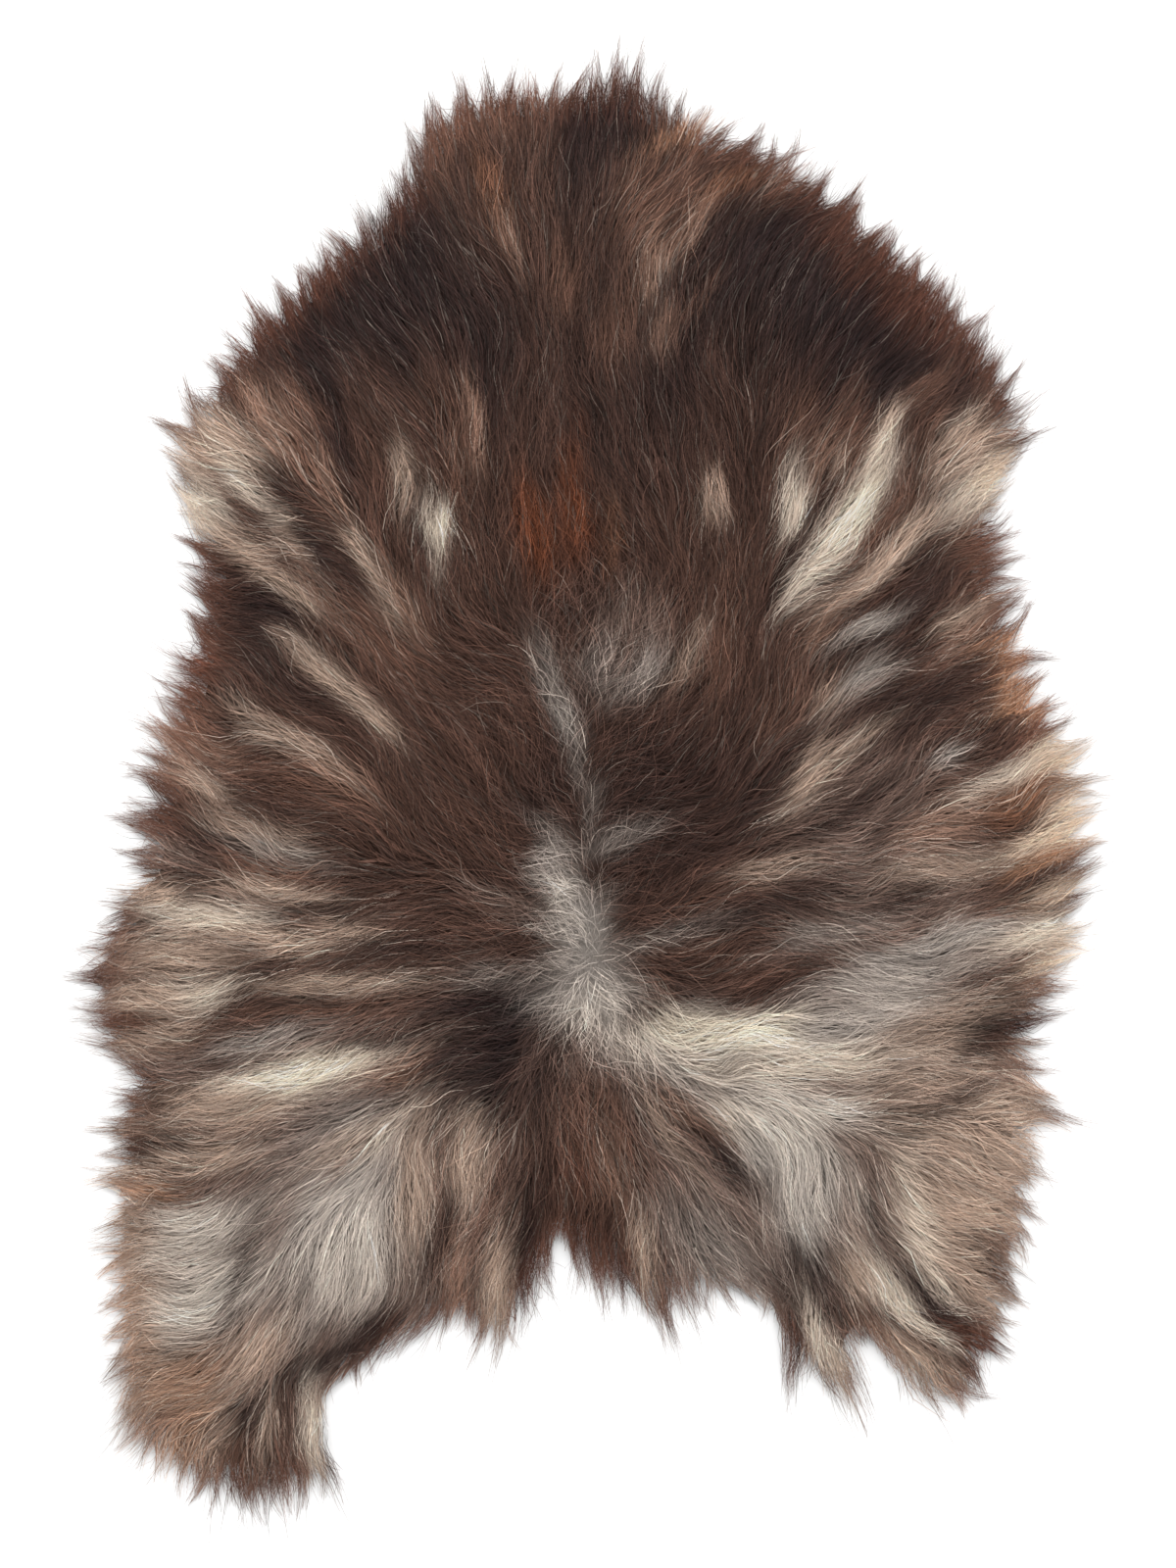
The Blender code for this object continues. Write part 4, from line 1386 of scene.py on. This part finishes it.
def growClumps(rng, settings):
    # Clumps of hair over the whole skin: each hair's path in plan, and its clump's lightness
    if "inward" in settings:
        x, y = rimRoots(settings, rng)
    else:
        x, y = clumpRoots(settings["spacing"], rng, -growth["rootsPast"])
    count = len(x)
    calm = spineNearness(x, y)
    length = settings["length"] * (1 - (1 - settings["spineShare"]) * calm)
    length = length * rng.uniform(*growth["lengths"], count)
    outer = sample(depthMap, x, y) < growth["rimBand"]
    hanging = growth["rimLength"] * sample(reachMap, x, y) + growth["rimMore"]
    length = np.where(outer, np.maximum(length, hanging), length)
    phase = 2 * math.pi * (softNoise(x, y, growth["swaySize"], 41) * growth["swayShift"])
    phase = phase + rng.normal(0, growth["swayStray"], count)
    wave = np.radians(settings["wave"]) * waviness(x, y) * rng.uniform(*growth["sway"], count)
    guides = tracePaths(x, y, length, wave, rng.uniform(*growth["swayLength"], count), phase)
    clumpLight = rng.normal(0, colouring["clumpSpread"], count)

    owner = np.repeat(np.arange(count), settings["perClump"])
    hairs = len(owner)
    paths = guides[owner]
    calm = calm[owner]
    run = np.linspace(0, 1, wool["steps"] + 1)[None, :]
    heading = paths[:, -1] - paths[:, 0]
    heading /= np.linalg.norm(heading, axis=1, keepdims=True)
    side = across(heading)
    size = settings["clumpSize"]
    narrowing = settings["narrowing"] * (1 - growth["narrowingCalm"] * calm)[:, None]
    spread = rng.normal(0, size, hairs)[:, None] * (1 - narrowing * eased(run * growth["narrowsBy"]))
    drift = (settings["drift"] * mostly(rng, hairs) * (1 + growth["driftCalm"] * calm))[:, None] * run**2
    turns = rng.uniform(*growth["curlTurns"], hairs)[:, None]
    curl = np.sin(2 * math.pi * run * turns + rng.uniform(0, growth["curlPhase"], hairs)[:, None])
    curl *= settings["curl"] * run * rng.uniform(*growth["curls"], hairs)[:, None]
    crossing = np.radians(settings["crossing"] * mostly(rng, hairs) * (1 + growth["crossingCalm"] * calm))
    root = paths[:, :1]
    paths = root + turned(paths - root, np.broadcast_to(crossing[:, None], paths.shape[:2]))
    paths = paths + side[:, None, :] * (spread + drift + curl)[..., None]
    paths = paths + (heading * rng.normal(0, size * growth["alongClump"], hairs)[:, None])[:, None, :]

    longest, lacking, power = growth["reach"]
    allowed = settings["reach"] * (longest - lacking * rng.random(hairs) ** power)
    share = np.minimum(reachedTo(paths, allowed), rng.uniform(*growth["grown"], hairs))
    grown = share > growth["leastGrown"]
    paths = resampled(paths[grown], share[grown], settings["points"])
    if "toTip" in settings:
        paths = gatheredToTufts(paths, rng, settings)
    return paths, clumpLight[owner[grown]]


# How a hair comes up to the wool's surface along its length
lying = {"risePower": 0.6, "spineRise": 0.8, "fullDepth": 30.0, "rimShare": 0.12, "floorGap": (0.8, 2.8)}


def lifted(paths, rng, settings):
    # Gives each path its height: rooted under the surface, coming up to lie along it
    t = np.linspace(0, 1, paths.shape[1])[None, :]
    surface = sample(surfaceMap, paths[..., 0], paths[..., 1])
    calm = spineNearness(paths[:, 0, 0], paths[:, 0, 1])[:, None]
    low, high = settings["low"], settings["high"]
    offset = low + (high - low) * np.maximum(t ** lying["risePower"], lying["spineRise"] * calm)
    offset = offset + rng.normal(0, settings["spread"], len(paths))[:, None]
    depth = np.clip(surface / lying["fullDepth"], lying["rimShare"], 1)
    z = np.maximum(surface + offset * depth, rng.uniform(*lying["floorGap"], len(paths))[:, None])
    return np.concatenate([paths, z[..., None]], axis=2)


def ranging(pair, t):
    # From the first value of a pair to the second
    return pair[0] + (pair[1] - pair[0]) * t


def hairColours(paths, clumpLight, rng):
    # Part of a hair's colour is one colour all along it, the rest comes from where it lies
    count, points, _ = paths.shape
    rows = np.arange(count)
    k = rng.integers(points // 2, points, count)
    strayed = rng.normal(0, colouring["strayed"], (2, count))
    own = sample(colourMap, paths[rows, k, 0] + strayed[0], paths[rows, k, 1] + strayed[1])
    local = sample(colourMap, paths[..., 0] + strayed[0][:, None], paths[..., 1] + strayed[1][:, None])
    # Streaks along the flow: partly tone, partly painted shade in the gaps between locks
    streakToneAndShade = colouring["streaks"] * sample(streakMap, paths[..., 0], paths[..., 1])
    streakToneAndShade += colouring["fineStreaks"] * sample(fineStreakMap, paths[..., 0], paths[..., 1])
    share = colouring["ownShare"]
    colour = own[:, None, :] * share + local * (1 - share)
    bright = own.mean(axis=1)

    # Single paler and darker hairs among the rest
    pick = rng.random(count)
    palePart = colouring["paleHairs"] * np.clip(bright / colouring["middle"], *colouring["paleHairShares"])
    pale = (pick < palePart)[:, None, None]
    dark = (pick > 1 - colouring["darkHairs"])[:, None, None]
    cream = np.clip(bright * colouring["creamPerLight"], *colouring["creamShares"])[:, None, None]
    cream = linear(tones["cream"]) * cream
    paler = colour * (1 - colouring["paleHairCream"]) + cream * colouring["paleHairCream"]
    colour = np.where(pale, paler, colour)
    kept = ranging(colouring["darkHairKeeps"], eased(bright / colouring["darkKeepsPaleAt"]))[:, None, None]
    colour = np.where(dark, colour * kept + linear(tones["dark"]) * (1 - kept), colour)
    # In dark wool the spread is larger: partly mixed hair, partly painted highlights on dark hairs
    spreadAndHighlight = ranging(colouring["spreadAndHighlightShares"], eased(bright / colouring["spreadPaleAt"]))
    light = colouring["hairSpread"] * mostly(rng, count) * spreadAndHighlight + clumpLight
    colour = colour * np.exp(light[:, None] + streakToneAndShade)[..., None]

    # Painted shade at the roots, where the wool above shades them, and browner tips near the rim
    t = np.linspace(0, 1, points)[None, :, None]
    colour = colour * (1 - colouring["rootShade"] * (1 - eased(t / colouring["rootEnds"])))
    inside = sample(depthMap, paths[:, -1, 0], paths[:, -1, 1])
    band, bandOver = colouring["tipBand"]
    tipped = eased((band - inside) / bandOver) * rng.uniform(*colouring["tipShares"], count)
    tipStart, tipOver = colouring["tipRun"]
    tipped = tipped[:, None, None] * eased((t - tipStart) / tipOver)
    paleFrom, paleOver = colouring["tipPale"]
    paleness = eased((bright - paleFrom) / paleOver)[:, None, None]
    brown, own = colouring["tipInDark"]
    darkTip = linear(tones["tipBrown"]) * brown + colour * own
    tan, own = colouring["tipInPale"]
    paleTip = linear(tones["tan"]) * tan + colour * own
    colour = colour * (1 - tipped) + (darkTip * (1 - paleness) + paleTip * paleness) * tipped
    return np.clip(colour * colouring["gain"], colouring["darkest"], colouring["lightest"])


def placed(name, mesh):
    # A new object of this mesh, lamp or camera
    made = bpy.data.objects.new(name, mesh)
    bpy.context.scene.collection.objects.link(made)
    return made


def addShades(mesh, colours):
    # The wool's colour at each vertex, for the material
    rgba = np.ones((len(mesh.vertices), 4), dtype=np.float32)
    rgba[:, :3] = colours
    shades = mesh.attributes.new("woolColour", "FLOAT_COLOR", "POINT")
    shades.data.foreach_set("color", rgba.reshape(-1))
    mesh.polygons.foreach_set("use_smooth", np.ones(len(mesh.polygons), dtype=bool))


ribbon = {
    "leastHeight": 0.4,
    "places": 97,  # hairs take their fibres from this many places in turn
    "placeStep": 3,
    "shift": 9,  # how far along its fibres a hair may start
    "sheetCells": 4,  # the cell of a hair on the common sheet is this many times longer than wide
    "cellAcross": (0.2, 0.8),
    "cellAlong": (0.08, 0.92),
}


def addRibbons(name, paths, widths, colours, rng, roll, material):
    # A joined mesh of narrow strips, each lying along its path
    count, points, _ = paths.shape
    along = np.gradient(paths, axis=1)
    along /= np.linalg.norm(along, axis=2, keepdims=True) + 1e-9
    flat = np.stack([-along[..., 1], along[..., 0], np.zeros((count, points))], axis=2)
    flat /= np.linalg.norm(flat, axis=2, keepdims=True) + 1e-9
    up = np.cross(along, flat)
    angle = rng.normal(0, math.radians(roll), count)[:, None, None]
    side = (flat * np.cos(angle) + up * np.sin(angle)) * widths[..., None] / 2
    verts = np.stack([paths - side, paths + side], axis=2)
    verts[..., 2] = np.maximum(verts[..., 2], ribbon["leastHeight"])
    base = (np.arange(count) * points * 2)[:, None] + (np.arange(points - 1) * 2)[None, :]
    quads = np.stack([base, base + 2, base + 3, base + 1], axis=2).reshape(-1, 4)[:, ::-1]
    mesh = bpy.data.meshes.new(name)
    mesh.vertices.add(count * points * 2)
    mesh.vertices.foreach_set("co", (verts.reshape(-1) * mm).astype(np.float32))
    mesh.loops.add(quads.size)
    mesh.loops.foreach_set("vertex_index", quads.reshape(-1).astype(np.int32))
    mesh.polygons.add(len(quads))
    mesh.polygons.foreach_set("loop_start", np.arange(0, quads.size, 4, dtype=np.int32))
    mesh.update(calc_edges=True)
    addShades(mesh, np.repeat(colours.reshape(-1, 3), 2, axis=0))

    # Across and along each hair, for the fibres in the material
    number = np.arange(count)[:, None, None]
    edge = np.broadcast_to(np.array([0.0, 1.0]), (count, points, 2))
    run = np.broadcast_to(np.linspace(0, 1, points)[None, :, None], (count, points, 2))
    u = edge + number % ribbon["places"] * ribbon["placeStep"]
    v = run + rng.random(count)[:, None, None] * ribbon["shift"]
    strandUv = np.stack([u, v], axis=3).reshape(-1, 2)
    # One cell of a common sheet for each hair
    columns = math.ceil(math.sqrt(count * ribbon["sheetCells"]))
    rows = math.ceil(count / columns)
    u = (number % columns + ranging(ribbon["cellAcross"], edge)) / columns
    v = (number // columns + ranging(ribbon["cellAlong"], run)) / rows
    sheetUv = np.stack([u, v], axis=3).reshape(-1, 2)
    for layerName, values in (("Strand", strandUv), ("OFBake", sheetUv)):
        layer = mesh.uv_layers.new(name=layerName)
        layer.data.foreach_set("uv", values[quads.reshape(-1)].astype(np.float32).reshape(-1))
    mesh.uv_layers.active = mesh.uv_layers["Strand"]
    mesh.uv_layers["Strand"].active_render = True
    mesh.materials.append(material)
    print(name, "has", count, "hairs,", len(quads) * 2, "triangles")
    return placed(name, mesh)


# Materials


def newMaterial(name):
    material = bpy.data.materials.new(name)
    material.use_nodes = True
    nodes = material.node_tree.nodes
    nodes.clear()
    output = nodes.new("ShaderNodeOutputMaterial")
    surface = nodes.new("ShaderNodeBsdfPrincipled")
    material.node_tree.links.new(surface.outputs["BSDF"], output.inputs["Surface"])
    return material, nodes, material.node_tree.links, surface


def addNode(nodes, kind, values=None, **settings):
    # A shader node with these settings, and with these values in its sockets
    node = nodes.new("ShaderNode" + kind)
    for name, value in settings.items():
        setattr(node, name, value)
    for socket, value in (values or {}).items():
        node.inputs[socket].default_value = value
    return node


def addRelief(nodes, links, surface, height, strength, distance):
    relief = addNode(nodes, "Bump", {"Strength": strength, "Distance": distance})
    links.new(height, relief.inputs["Height"])
    links.new(relief.outputs[0], surface.inputs["Normal"])


def fibreGroup():
    # Fine fibres along a hair or over the wool: a lightness and a height
    group = bpy.data.node_groups.new("fibres", "ShaderNodeTree")
    for name, kind, way in (
        ("Place", "NodeSocketVector", "INPUT"),
        ("Across", "NodeSocketFloat", "INPUT"),
        ("Along", "NodeSocketFloat", "INPUT"),
        ("Contrast", "NodeSocketFloat", "INPUT"),
        ("Lightness", "NodeSocketFloat", "OUTPUT"),
        ("Height", "NodeSocketFloat", "OUTPUT"),
    ):
        group.interface.new_socket(name=name, in_out=way, socket_type=kind)
    nodes = group.nodes
    links = group.links
    given = nodes.new("NodeGroupInput")
    made = nodes.new("NodeGroupOutput")
    split = addNode(nodes, "SeparateXYZ")
    joined = addNode(nodes, "CombineXYZ")
    links.new(given.outputs["Place"], split.inputs[0])
    for axis, scale in (("X", "Across"), ("Y", "Along")):
        scaled = addNode(nodes, "Math", operation="MULTIPLY")
        links.new(split.outputs[axis], scaled.inputs[0])
        links.new(given.outputs[scale], scaled.inputs[1])
        links.new(scaled.outputs[0], joined.inputs[axis])
    grain = addNode(nodes, "TexNoise", {"Scale": 1.0, "Detail": 2.0, "Roughness": 0.6})
    links.new(joined.outputs[0], grain.inputs["Vector"])
    stretch = {"From Min": 0.28, "From Max": 0.72, "To Min": -1.0, "To Max": 1.0}
    stretched = addNode(nodes, "MapRange", stretch)
    links.new(grain.outputs["Fac"], stretched.inputs["Value"])
    light = addNode(nodes, "Math", {2: 1.0}, operation="MULTIPLY_ADD")
    links.new(stretched.outputs["Result"], light.inputs[0])
    links.new(given.outputs["Contrast"], light.inputs[1])
    links.new(light.outputs[0], made.inputs["Lightness"])
    links.new(grain.outputs["Fac"], made.inputs["Height"])
    return group


fibres = fibreGroup()


def fibredMaterial(name, look):
    # The mesh's own colour with fibres over it, which follow each hair where "Strand" is their map
    material, nodes, links, surface = newMaterial(name)
    colour = addNode(nodes, "Attribute", attribute_name="woolColour")
    if look["map"] == "Strand":
        place = addNode(nodes, "UVMap", uv_map="Strand").outputs[0]
    else:
        place = addNode(nodes, "TexCoord").outputs["Object"]
    scales = {"Across": look["across"], "Along": look["along"], "Contrast": look["contrast"]}
    fibre = addNode(nodes, "Group", scales, node_tree=fibres)
    links.new(place, fibre.inputs["Place"])
    mixed = addNode(nodes, "VectorMath", operation="SCALE")
    links.new(colour.outputs["Color"], mixed.inputs[0])
    links.new(fibre.outputs["Lightness"], mixed.inputs["Scale"])
    links.new(mixed.outputs[0], surface.inputs["Base Color"])
    addRelief(nodes, links, surface, fibre.outputs["Height"], look["relief"], look["reliefDepth"])
    surface.inputs["Roughness"].default_value = look["roughness"]
    surface.inputs["Specular IOR Level"].default_value = look["shine"]
    return material


lockLook = {
    "map": "Strand", "across": 7.0, "along": 1.6, "contrast": 0.42,
    "relief": 0.5, "reliefDepth": 0.0004, "roughness": 0.6, "shine": 0.12,
}
hairLook = {
    "map": "Strand", "across": 2.0, "along": 1.2, "contrast": 0.22,
    "relief": 0.3, "reliefDepth": 0.0004, "roughness": 0.52, "shine": 0.12,
}
underWoolLook = {
    "map": "Object", "across": 900.0, "along": 300.0, "contrast": 0.35,
    "relief": 0.8, "reliefDepth": 0.001, "roughness": 0.9, "shine": 0.15,
}
lockWool = fibredMaterial("lockWool", lockLook)
longWool = fibredMaterial("longWool", hairLook)


# The wool

# Under wool: the solid's own lumpy slab, sunk a little and drawn in at the rim
underWoolSettings = {
    "topFrom": 0.003,  # metres, for edges that are made finer
    "smoothing": 0.3,
    "base": 3.0,  # what lies higher than this sinks
    "sink": 0.72,  # the share of its height that it keeps
    "drawnFrom": 16.0,
    "drawnTo": 4.0,
    "softness": 20.0,
    "pulls": 6,  # more draws, for the deep notches of the rim
    "pull": 12.0,
    "rimShare": 0.25,
    "fall": 24.0,
    "lump": 1.6,
    "lumpSize": 14.0,
    "lumpFull": 8.0,
    "bareOutside": 2.0,
    # painted shade: the under wool keeps this share of the wool's colour, for the shade under the hair
    "shade": 0.55,
}


def inwardSlope(co):
    # The way from each place to the inside of the rim
    step = wool["gridCell"]
    slopeX = sample(depthMap, co[:, 0] + step, co[:, 1]) - sample(depthMap, co[:, 0] - step, co[:, 1])
    slopeY = sample(depthMap, co[:, 0], co[:, 1] + step) - sample(depthMap, co[:, 0], co[:, 1] - step)
    slope = np.column_stack([slopeX, slopeY])
    return slope / (np.linalg.norm(slope, axis=1, keepdims=True) + 1e-9)


def buildUnderWool():
    at = underWoolSettings
    bm = bmesh.new()
    bm.from_mesh(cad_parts["fleece"].data)
    bmesh.ops.remove_doubles(bm, verts=bm.verts, dist=1e-5)
    top = [e for e in bm.edges if min(v.co.z for v in e.verts) > at["topFrom"]]
    bmesh.ops.subdivide_edges(bm, edges=top, cuts=1, use_grid_fill=True, smooth=at["smoothing"])
    bmesh.ops.triangulate(bm, faces=bm.faces)
    co = np.array([v.co for v in bm.verts]) / mm
    depth = sample(depthMap, co[:, 0], co[:, 1])
    slope = inwardSlope(co)
    least, base = at["drawnTo"], at["base"]
    near = np.maximum(at["drawnFrom"] - depth, 0)
    drawn = near - (at["drawnFrom"] - least) * (1 - np.exp(-near / at["softness"]))
    co[:, :2] += slope * np.maximum(drawn, 0)[:, None]
    for again in range(at["pulls"]):
        depth = sample(depthMap, co[:, 0], co[:, 1])
        slope = inwardSlope(co)
        co[:, :2] += slope * np.clip(least - depth, 0, at["pull"])[:, None]
    surface = sample(surfaceMap, co[:, 0], co[:, 1])
    raised = np.clip(np.minimum(co[:, 2], surface) - base, 0, None)
    depth = sample(depthMap, co[:, 0], co[:, 1])
    raised = raised * ranging((at["rimShare"], 1), eased((depth - least) / at["fall"]))
    grain = softNoise(co[:, 0], co[:, 1], at["lumpSize"], 51) * eased(raised / at["lumpFull"])
    co[:, 2] = np.where(co[:, 2] > base, base + raised * at["sink"] + at["lump"] * grain, co[:, 2])
    for vert, place in zip(bm.verts, co):
        vert.co = place * mm
    middles = np.array([f.calc_center_median() for f in bm.faces]) / mm
    gapDepth = clearing["underWool"] * ovals(gaps, middles[:, 0], middles[:, 1])
    bare = sample(depthMap, middles[:, 0], middles[:, 1]) - gapDepth < least - at["bareOutside"]
    bmesh.ops.delete(bm, geom=[f for f, out in zip(list(bm.faces), bare) if out], context="FACES")
    bmesh.ops.recalc_face_normals(bm, faces=bm.faces)
    mesh = bpy.data.meshes.new("under_wool")
    bm.to_mesh(mesh)
    bm.free()
    co = np.array([v.co for v in mesh.vertices]) / mm
    # The under wool's colour is darkened as painted shade, for the shade under the hair
    addShades(mesh, woolColour(co[:, 0], co[:, 1]) * at["shade"])
    mesh.materials.append(fibredMaterial("underWool", underWoolLook))
    print("under wool:", len(mesh.polygons), "faces")
    return placed("under_wool", mesh)


# In mm and degrees; low and high are the heights of root and tip against the wool's surface
# Broad locks that fill the body of the fleece
lockSettings = {
    "perClump": 2, "spacing": 11.6, "clumpSize": 5.0, "length": 90, "spineShare": 0.5, "wave": 14,
    "narrowing": 0.45, "drift": 4.0, "crossing": 3, "curl": 1.2, "reach": 0.12,
    "width": 2.4, "taper": 0.95, "thinnedBySpine": 0.75, "roll": 16,
    "points": 7, "low": -12, "high": -3.0, "spread": 1.4,
}
# Long hair, in layers that each cover the whole skin
hairSettings = {
    "perClump": 6, "spacing": 12.6, "clumpSize": 4.6, "length": 50, "spineShare": 0.45, "wave": 20,
    "narrowing": 0.35, "drift": 5.0, "crossing": 7, "curl": 1.6, "loose": 0.5, "toTip": 1.0, "reach": 1.0,
    "width": 0.42, "taper": 0.68, "roll": 32,
    "points": 5, "low": -7, "high": 0.8, "spread": 1.0,
}
hairLayers = 4
# Fine stray hair that crosses the rest, and stands past the tufts
strayHairSettings = {
    "perClump": 1, "spacing": 11.6, "clumpSize": 5.0, "length": 66, "spineShare": 0.35, "wave": 30,
    "narrowing": 0.0, "drift": 12.0, "crossing": 16, "curl": 4.0, "loose": 0.9, "toTip": 1.05,
    "reach": 1.25, "width": 0.32, "taper": 0.55, "roll": 30,
    "points": 8, "low": -4, "high": 2.0, "spread": 1.0,
}
# Thin hair of the rim, which softens its tufts
rimHairSettings = {
    "perClump": 4, "spacing": 9.0, "inward": 20, "clumpSize": 4.0, "length": 46, "spineShare": 1.0,
    "wave": 18, "narrowing": 0.3, "drift": 5.0, "crossing": 8, "curl": 2.5, "loose": 0.6, "toTip": 1.0,
    "reach": 1.2, "width": 0.34, "taper": 0.6, "roll": 25,
    "points": 6, "low": -6, "high": 0.5, "spread": 1.0,
}
# How a hair's width changes along it
strand = {
    "widths": (0.6, 1.4),
    "fromRoot": (0.6, 1.0),
    "swell": 3.0,
    "taperFrom": 0.3,
    "taperOver": 0.72,
    "thinnedPastRim": 0.15,
    "pastRim": 20.0,
}


def growWool(name, settings, seed, material):
    rng = np.random.default_rng(seed)
    paths, light = growClumps(rng, settings)
    colours = hairColours(paths, light, rng)
    paths = lifted(paths, rng, settings)
    t = np.linspace(0, 1, settings["points"])[None, :]
    widths = settings["width"] * rng.uniform(*strand["widths"], len(paths))[:, None]
    widths = widths * ranging(strand["fromRoot"], eased(t * strand["swell"]))
    widths = widths * (1 - eased((t - strand["taperFrom"]) / strand["taperOver"]) * settings["taper"])
    calm = spineNearness(paths[:, 0, 0], paths[:, 0, 1])[:, None]
    widths = widths * (1 - settings.get("thinnedBySpine", 0) * calm)
    past = eased(-sample(depthMap, paths[..., 0], paths[..., 1]) / strand["pastRim"])
    widths = widths * (1 - strand["thinnedPastRim"] * past)
    return addRibbons(name, paths, widths, colours, rng, settings["roll"], material)


wools = [buildUnderWool(), growWool("wool_locks", lockSettings, wool["seed"], lockWool)]
for layer in range(1, hairLayers + 1):
    wools.append(growWool("wool_long_%d" % layer, hairSettings, wool["seed"] + layer, longWool))
wools.append(growWool("wool_rim", rimHairSettings, wool["seed"] + 8, longWool))
wools.append(growWool("wool_stray", strayHairSettings, wool["seed"] + 9, longWool))

for piece in wools:
    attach(piece, "root")
    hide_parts("fleece")
print("wool made")

# The hide


hideLook = {
    "darker": (196, 176, 146),
    "lighter": (226, 211, 186),
    "clouds": 9.0,
    "nap": 620.0,
    "relief": 0.5,
    "reliefDepth": 0.0006,
    "roughness": 0.9,
    "sheen": 0.3,
}


def suedeMaterial():
    material, nodes, links, surface = newMaterial("suedeHide")
    place = addNode(nodes, "TexCoord")
    cloud = addNode(nodes, "TexNoise", {"Scale": hideLook["clouds"], "Detail": 5.0})
    links.new(place.outputs["Object"], cloud.inputs["Vector"])
    ramp = addNode(nodes, "ValToRGB")
    for stop, position, tone in zip(ramp.color_ramp.elements, (0.3, 0.72), ("darker", "lighter")):
        stop.position = position
        stop.color = (*linear(hideLook[tone]), 1)
    links.new(cloud.outputs["Fac"], ramp.inputs["Fac"])
    links.new(ramp.outputs["Color"], surface.inputs["Base Color"])
    nap = addNode(nodes, "TexNoise", {"Scale": hideLook["nap"], "Detail": 4.0})
    links.new(place.outputs["Object"], nap.inputs["Vector"])
    addRelief(nodes, links, surface, nap.outputs["Fac"], hideLook["relief"], hideLook["reliefDepth"])
    surface.inputs["Roughness"].default_value = hideLook["roughness"]
    surface.inputs["Sheen Weight"].default_value = hideLook["sheen"]
    return material


def buildHide():
    # The flat tanned skin, with the faces of its cut edge in two rows, and its area from above
    bm = bmesh.new()
    bm.from_mesh(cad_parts["hide"].data)
    bmesh.ops.remove_doubles(bm, verts=bm.verts, dist=1e-5)
    bmesh.ops.dissolve_limit(bm, angle_limit=0.01, verts=bm.verts, edges=bm.edges)
    rimEdges = [e for e in bm.edges if abs(e.verts[0].co.z - e.verts[1].co.z) > 0.001]
    bmesh.ops.subdivide_edges(bm, edges=rimEdges, cuts=1)
    bmesh.ops.triangulate(bm, faces=bm.faces)
    bmesh.ops.recalc_face_normals(bm, faces=bm.faces)
    mesh = bpy.data.meshes.new("tanned_skin")
    bm.to_mesh(mesh)
    area = sum(f.calc_area() for f in bm.faces if f.normal.z > 0.9)
    bm.free()
    mesh.materials.append(suedeMaterial())
    return placed("tanned_skin", mesh), area


hide, hideArea = buildHide()
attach(hide, "root")
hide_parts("hide")
print("hide made, area", round(hideArea, 3), "m2")

# Floor, lights and camera

studio = {
    "floorTone": 0.93,
    "floorSize": 6.0,
    "floorHeight": -0.0006,
    "world": 0.55,
    "overhead": 105.0,
    "side": 24.0,
    "lens": 85.0,
    "sensor": 36.0,
    "pictureLength": 1.152,  # metres of floor from the picture's top to its bottom
    "pictureMiddle": (-0.0007, -0.0022),
    "focusHeight": 0.006,
}


def buildFloor():
    bm = bmesh.new()
    bmesh.ops.create_grid(bm, x_segments=1, y_segments=1, size=studio["floorSize"])
    bmesh.ops.translate(bm, vec=(0, 0, studio["floorHeight"]), verts=bm.verts)
    mesh = bpy.data.meshes.new("floor")
    bm.to_mesh(mesh)
    bm.free()
    material, nodes, links, surface = newMaterial("paleFloor")
    surface.inputs["Base Color"].default_value = (studio["floorTone"],) * 3 + (1,)
    surface.inputs["Roughness"].default_value = 0.9
    mesh.materials.append(material)
    placed("floor", mesh)


def addSoftbox(name, location, size, power):
    # A lamp that faces the middle of the skin
    light = bpy.data.lights.new(name, "AREA")
    light.shape = "RECTANGLE"
    light.size, light.size_y = size
    light.energy = power
    x, y, z = location
    lamp = placed(name, light)
    lamp.location = location
    lamp.rotation_euler = (math.atan2(math.hypot(x, y), z), 0, math.atan2(x, -y))


buildFloor()
addSoftbox("overhead", (0.0, 1.5, 3.3), (2.2, 1.4), studio["overhead"])
addSoftbox("sideLeft", (-2.6, 1.2, 2.2), (1.6, 2.4), studio["side"])
addSoftbox("sideRight", (2.6, 0.8, 2.2), (1.6, 2.4), studio["side"])

world = bpy.data.worlds.new("studio")
world.use_nodes = True
world.node_tree.nodes["Background"].inputs["Color"].default_value = (1, 1, 1, 1)
world.node_tree.nodes["Background"].inputs["Strength"].default_value = studio["world"]
bpy.context.scene.world = world
bpy.context.scene.view_settings.view_transform = "Standard"

lens = bpy.data.cameras.new("above")
lens.lens = studio["lens"]
lens.sensor_width = studio["sensor"]
lens.clip_end = 30
camera = placed("above", lens)
distance = studio["pictureLength"] / 2 / (studio["sensor"] / 2 / studio["lens"])
camera.location = (*studio["pictureMiddle"], distance + studio["focusHeight"])
bpy.context.scene.camera = camera
print("studio made")
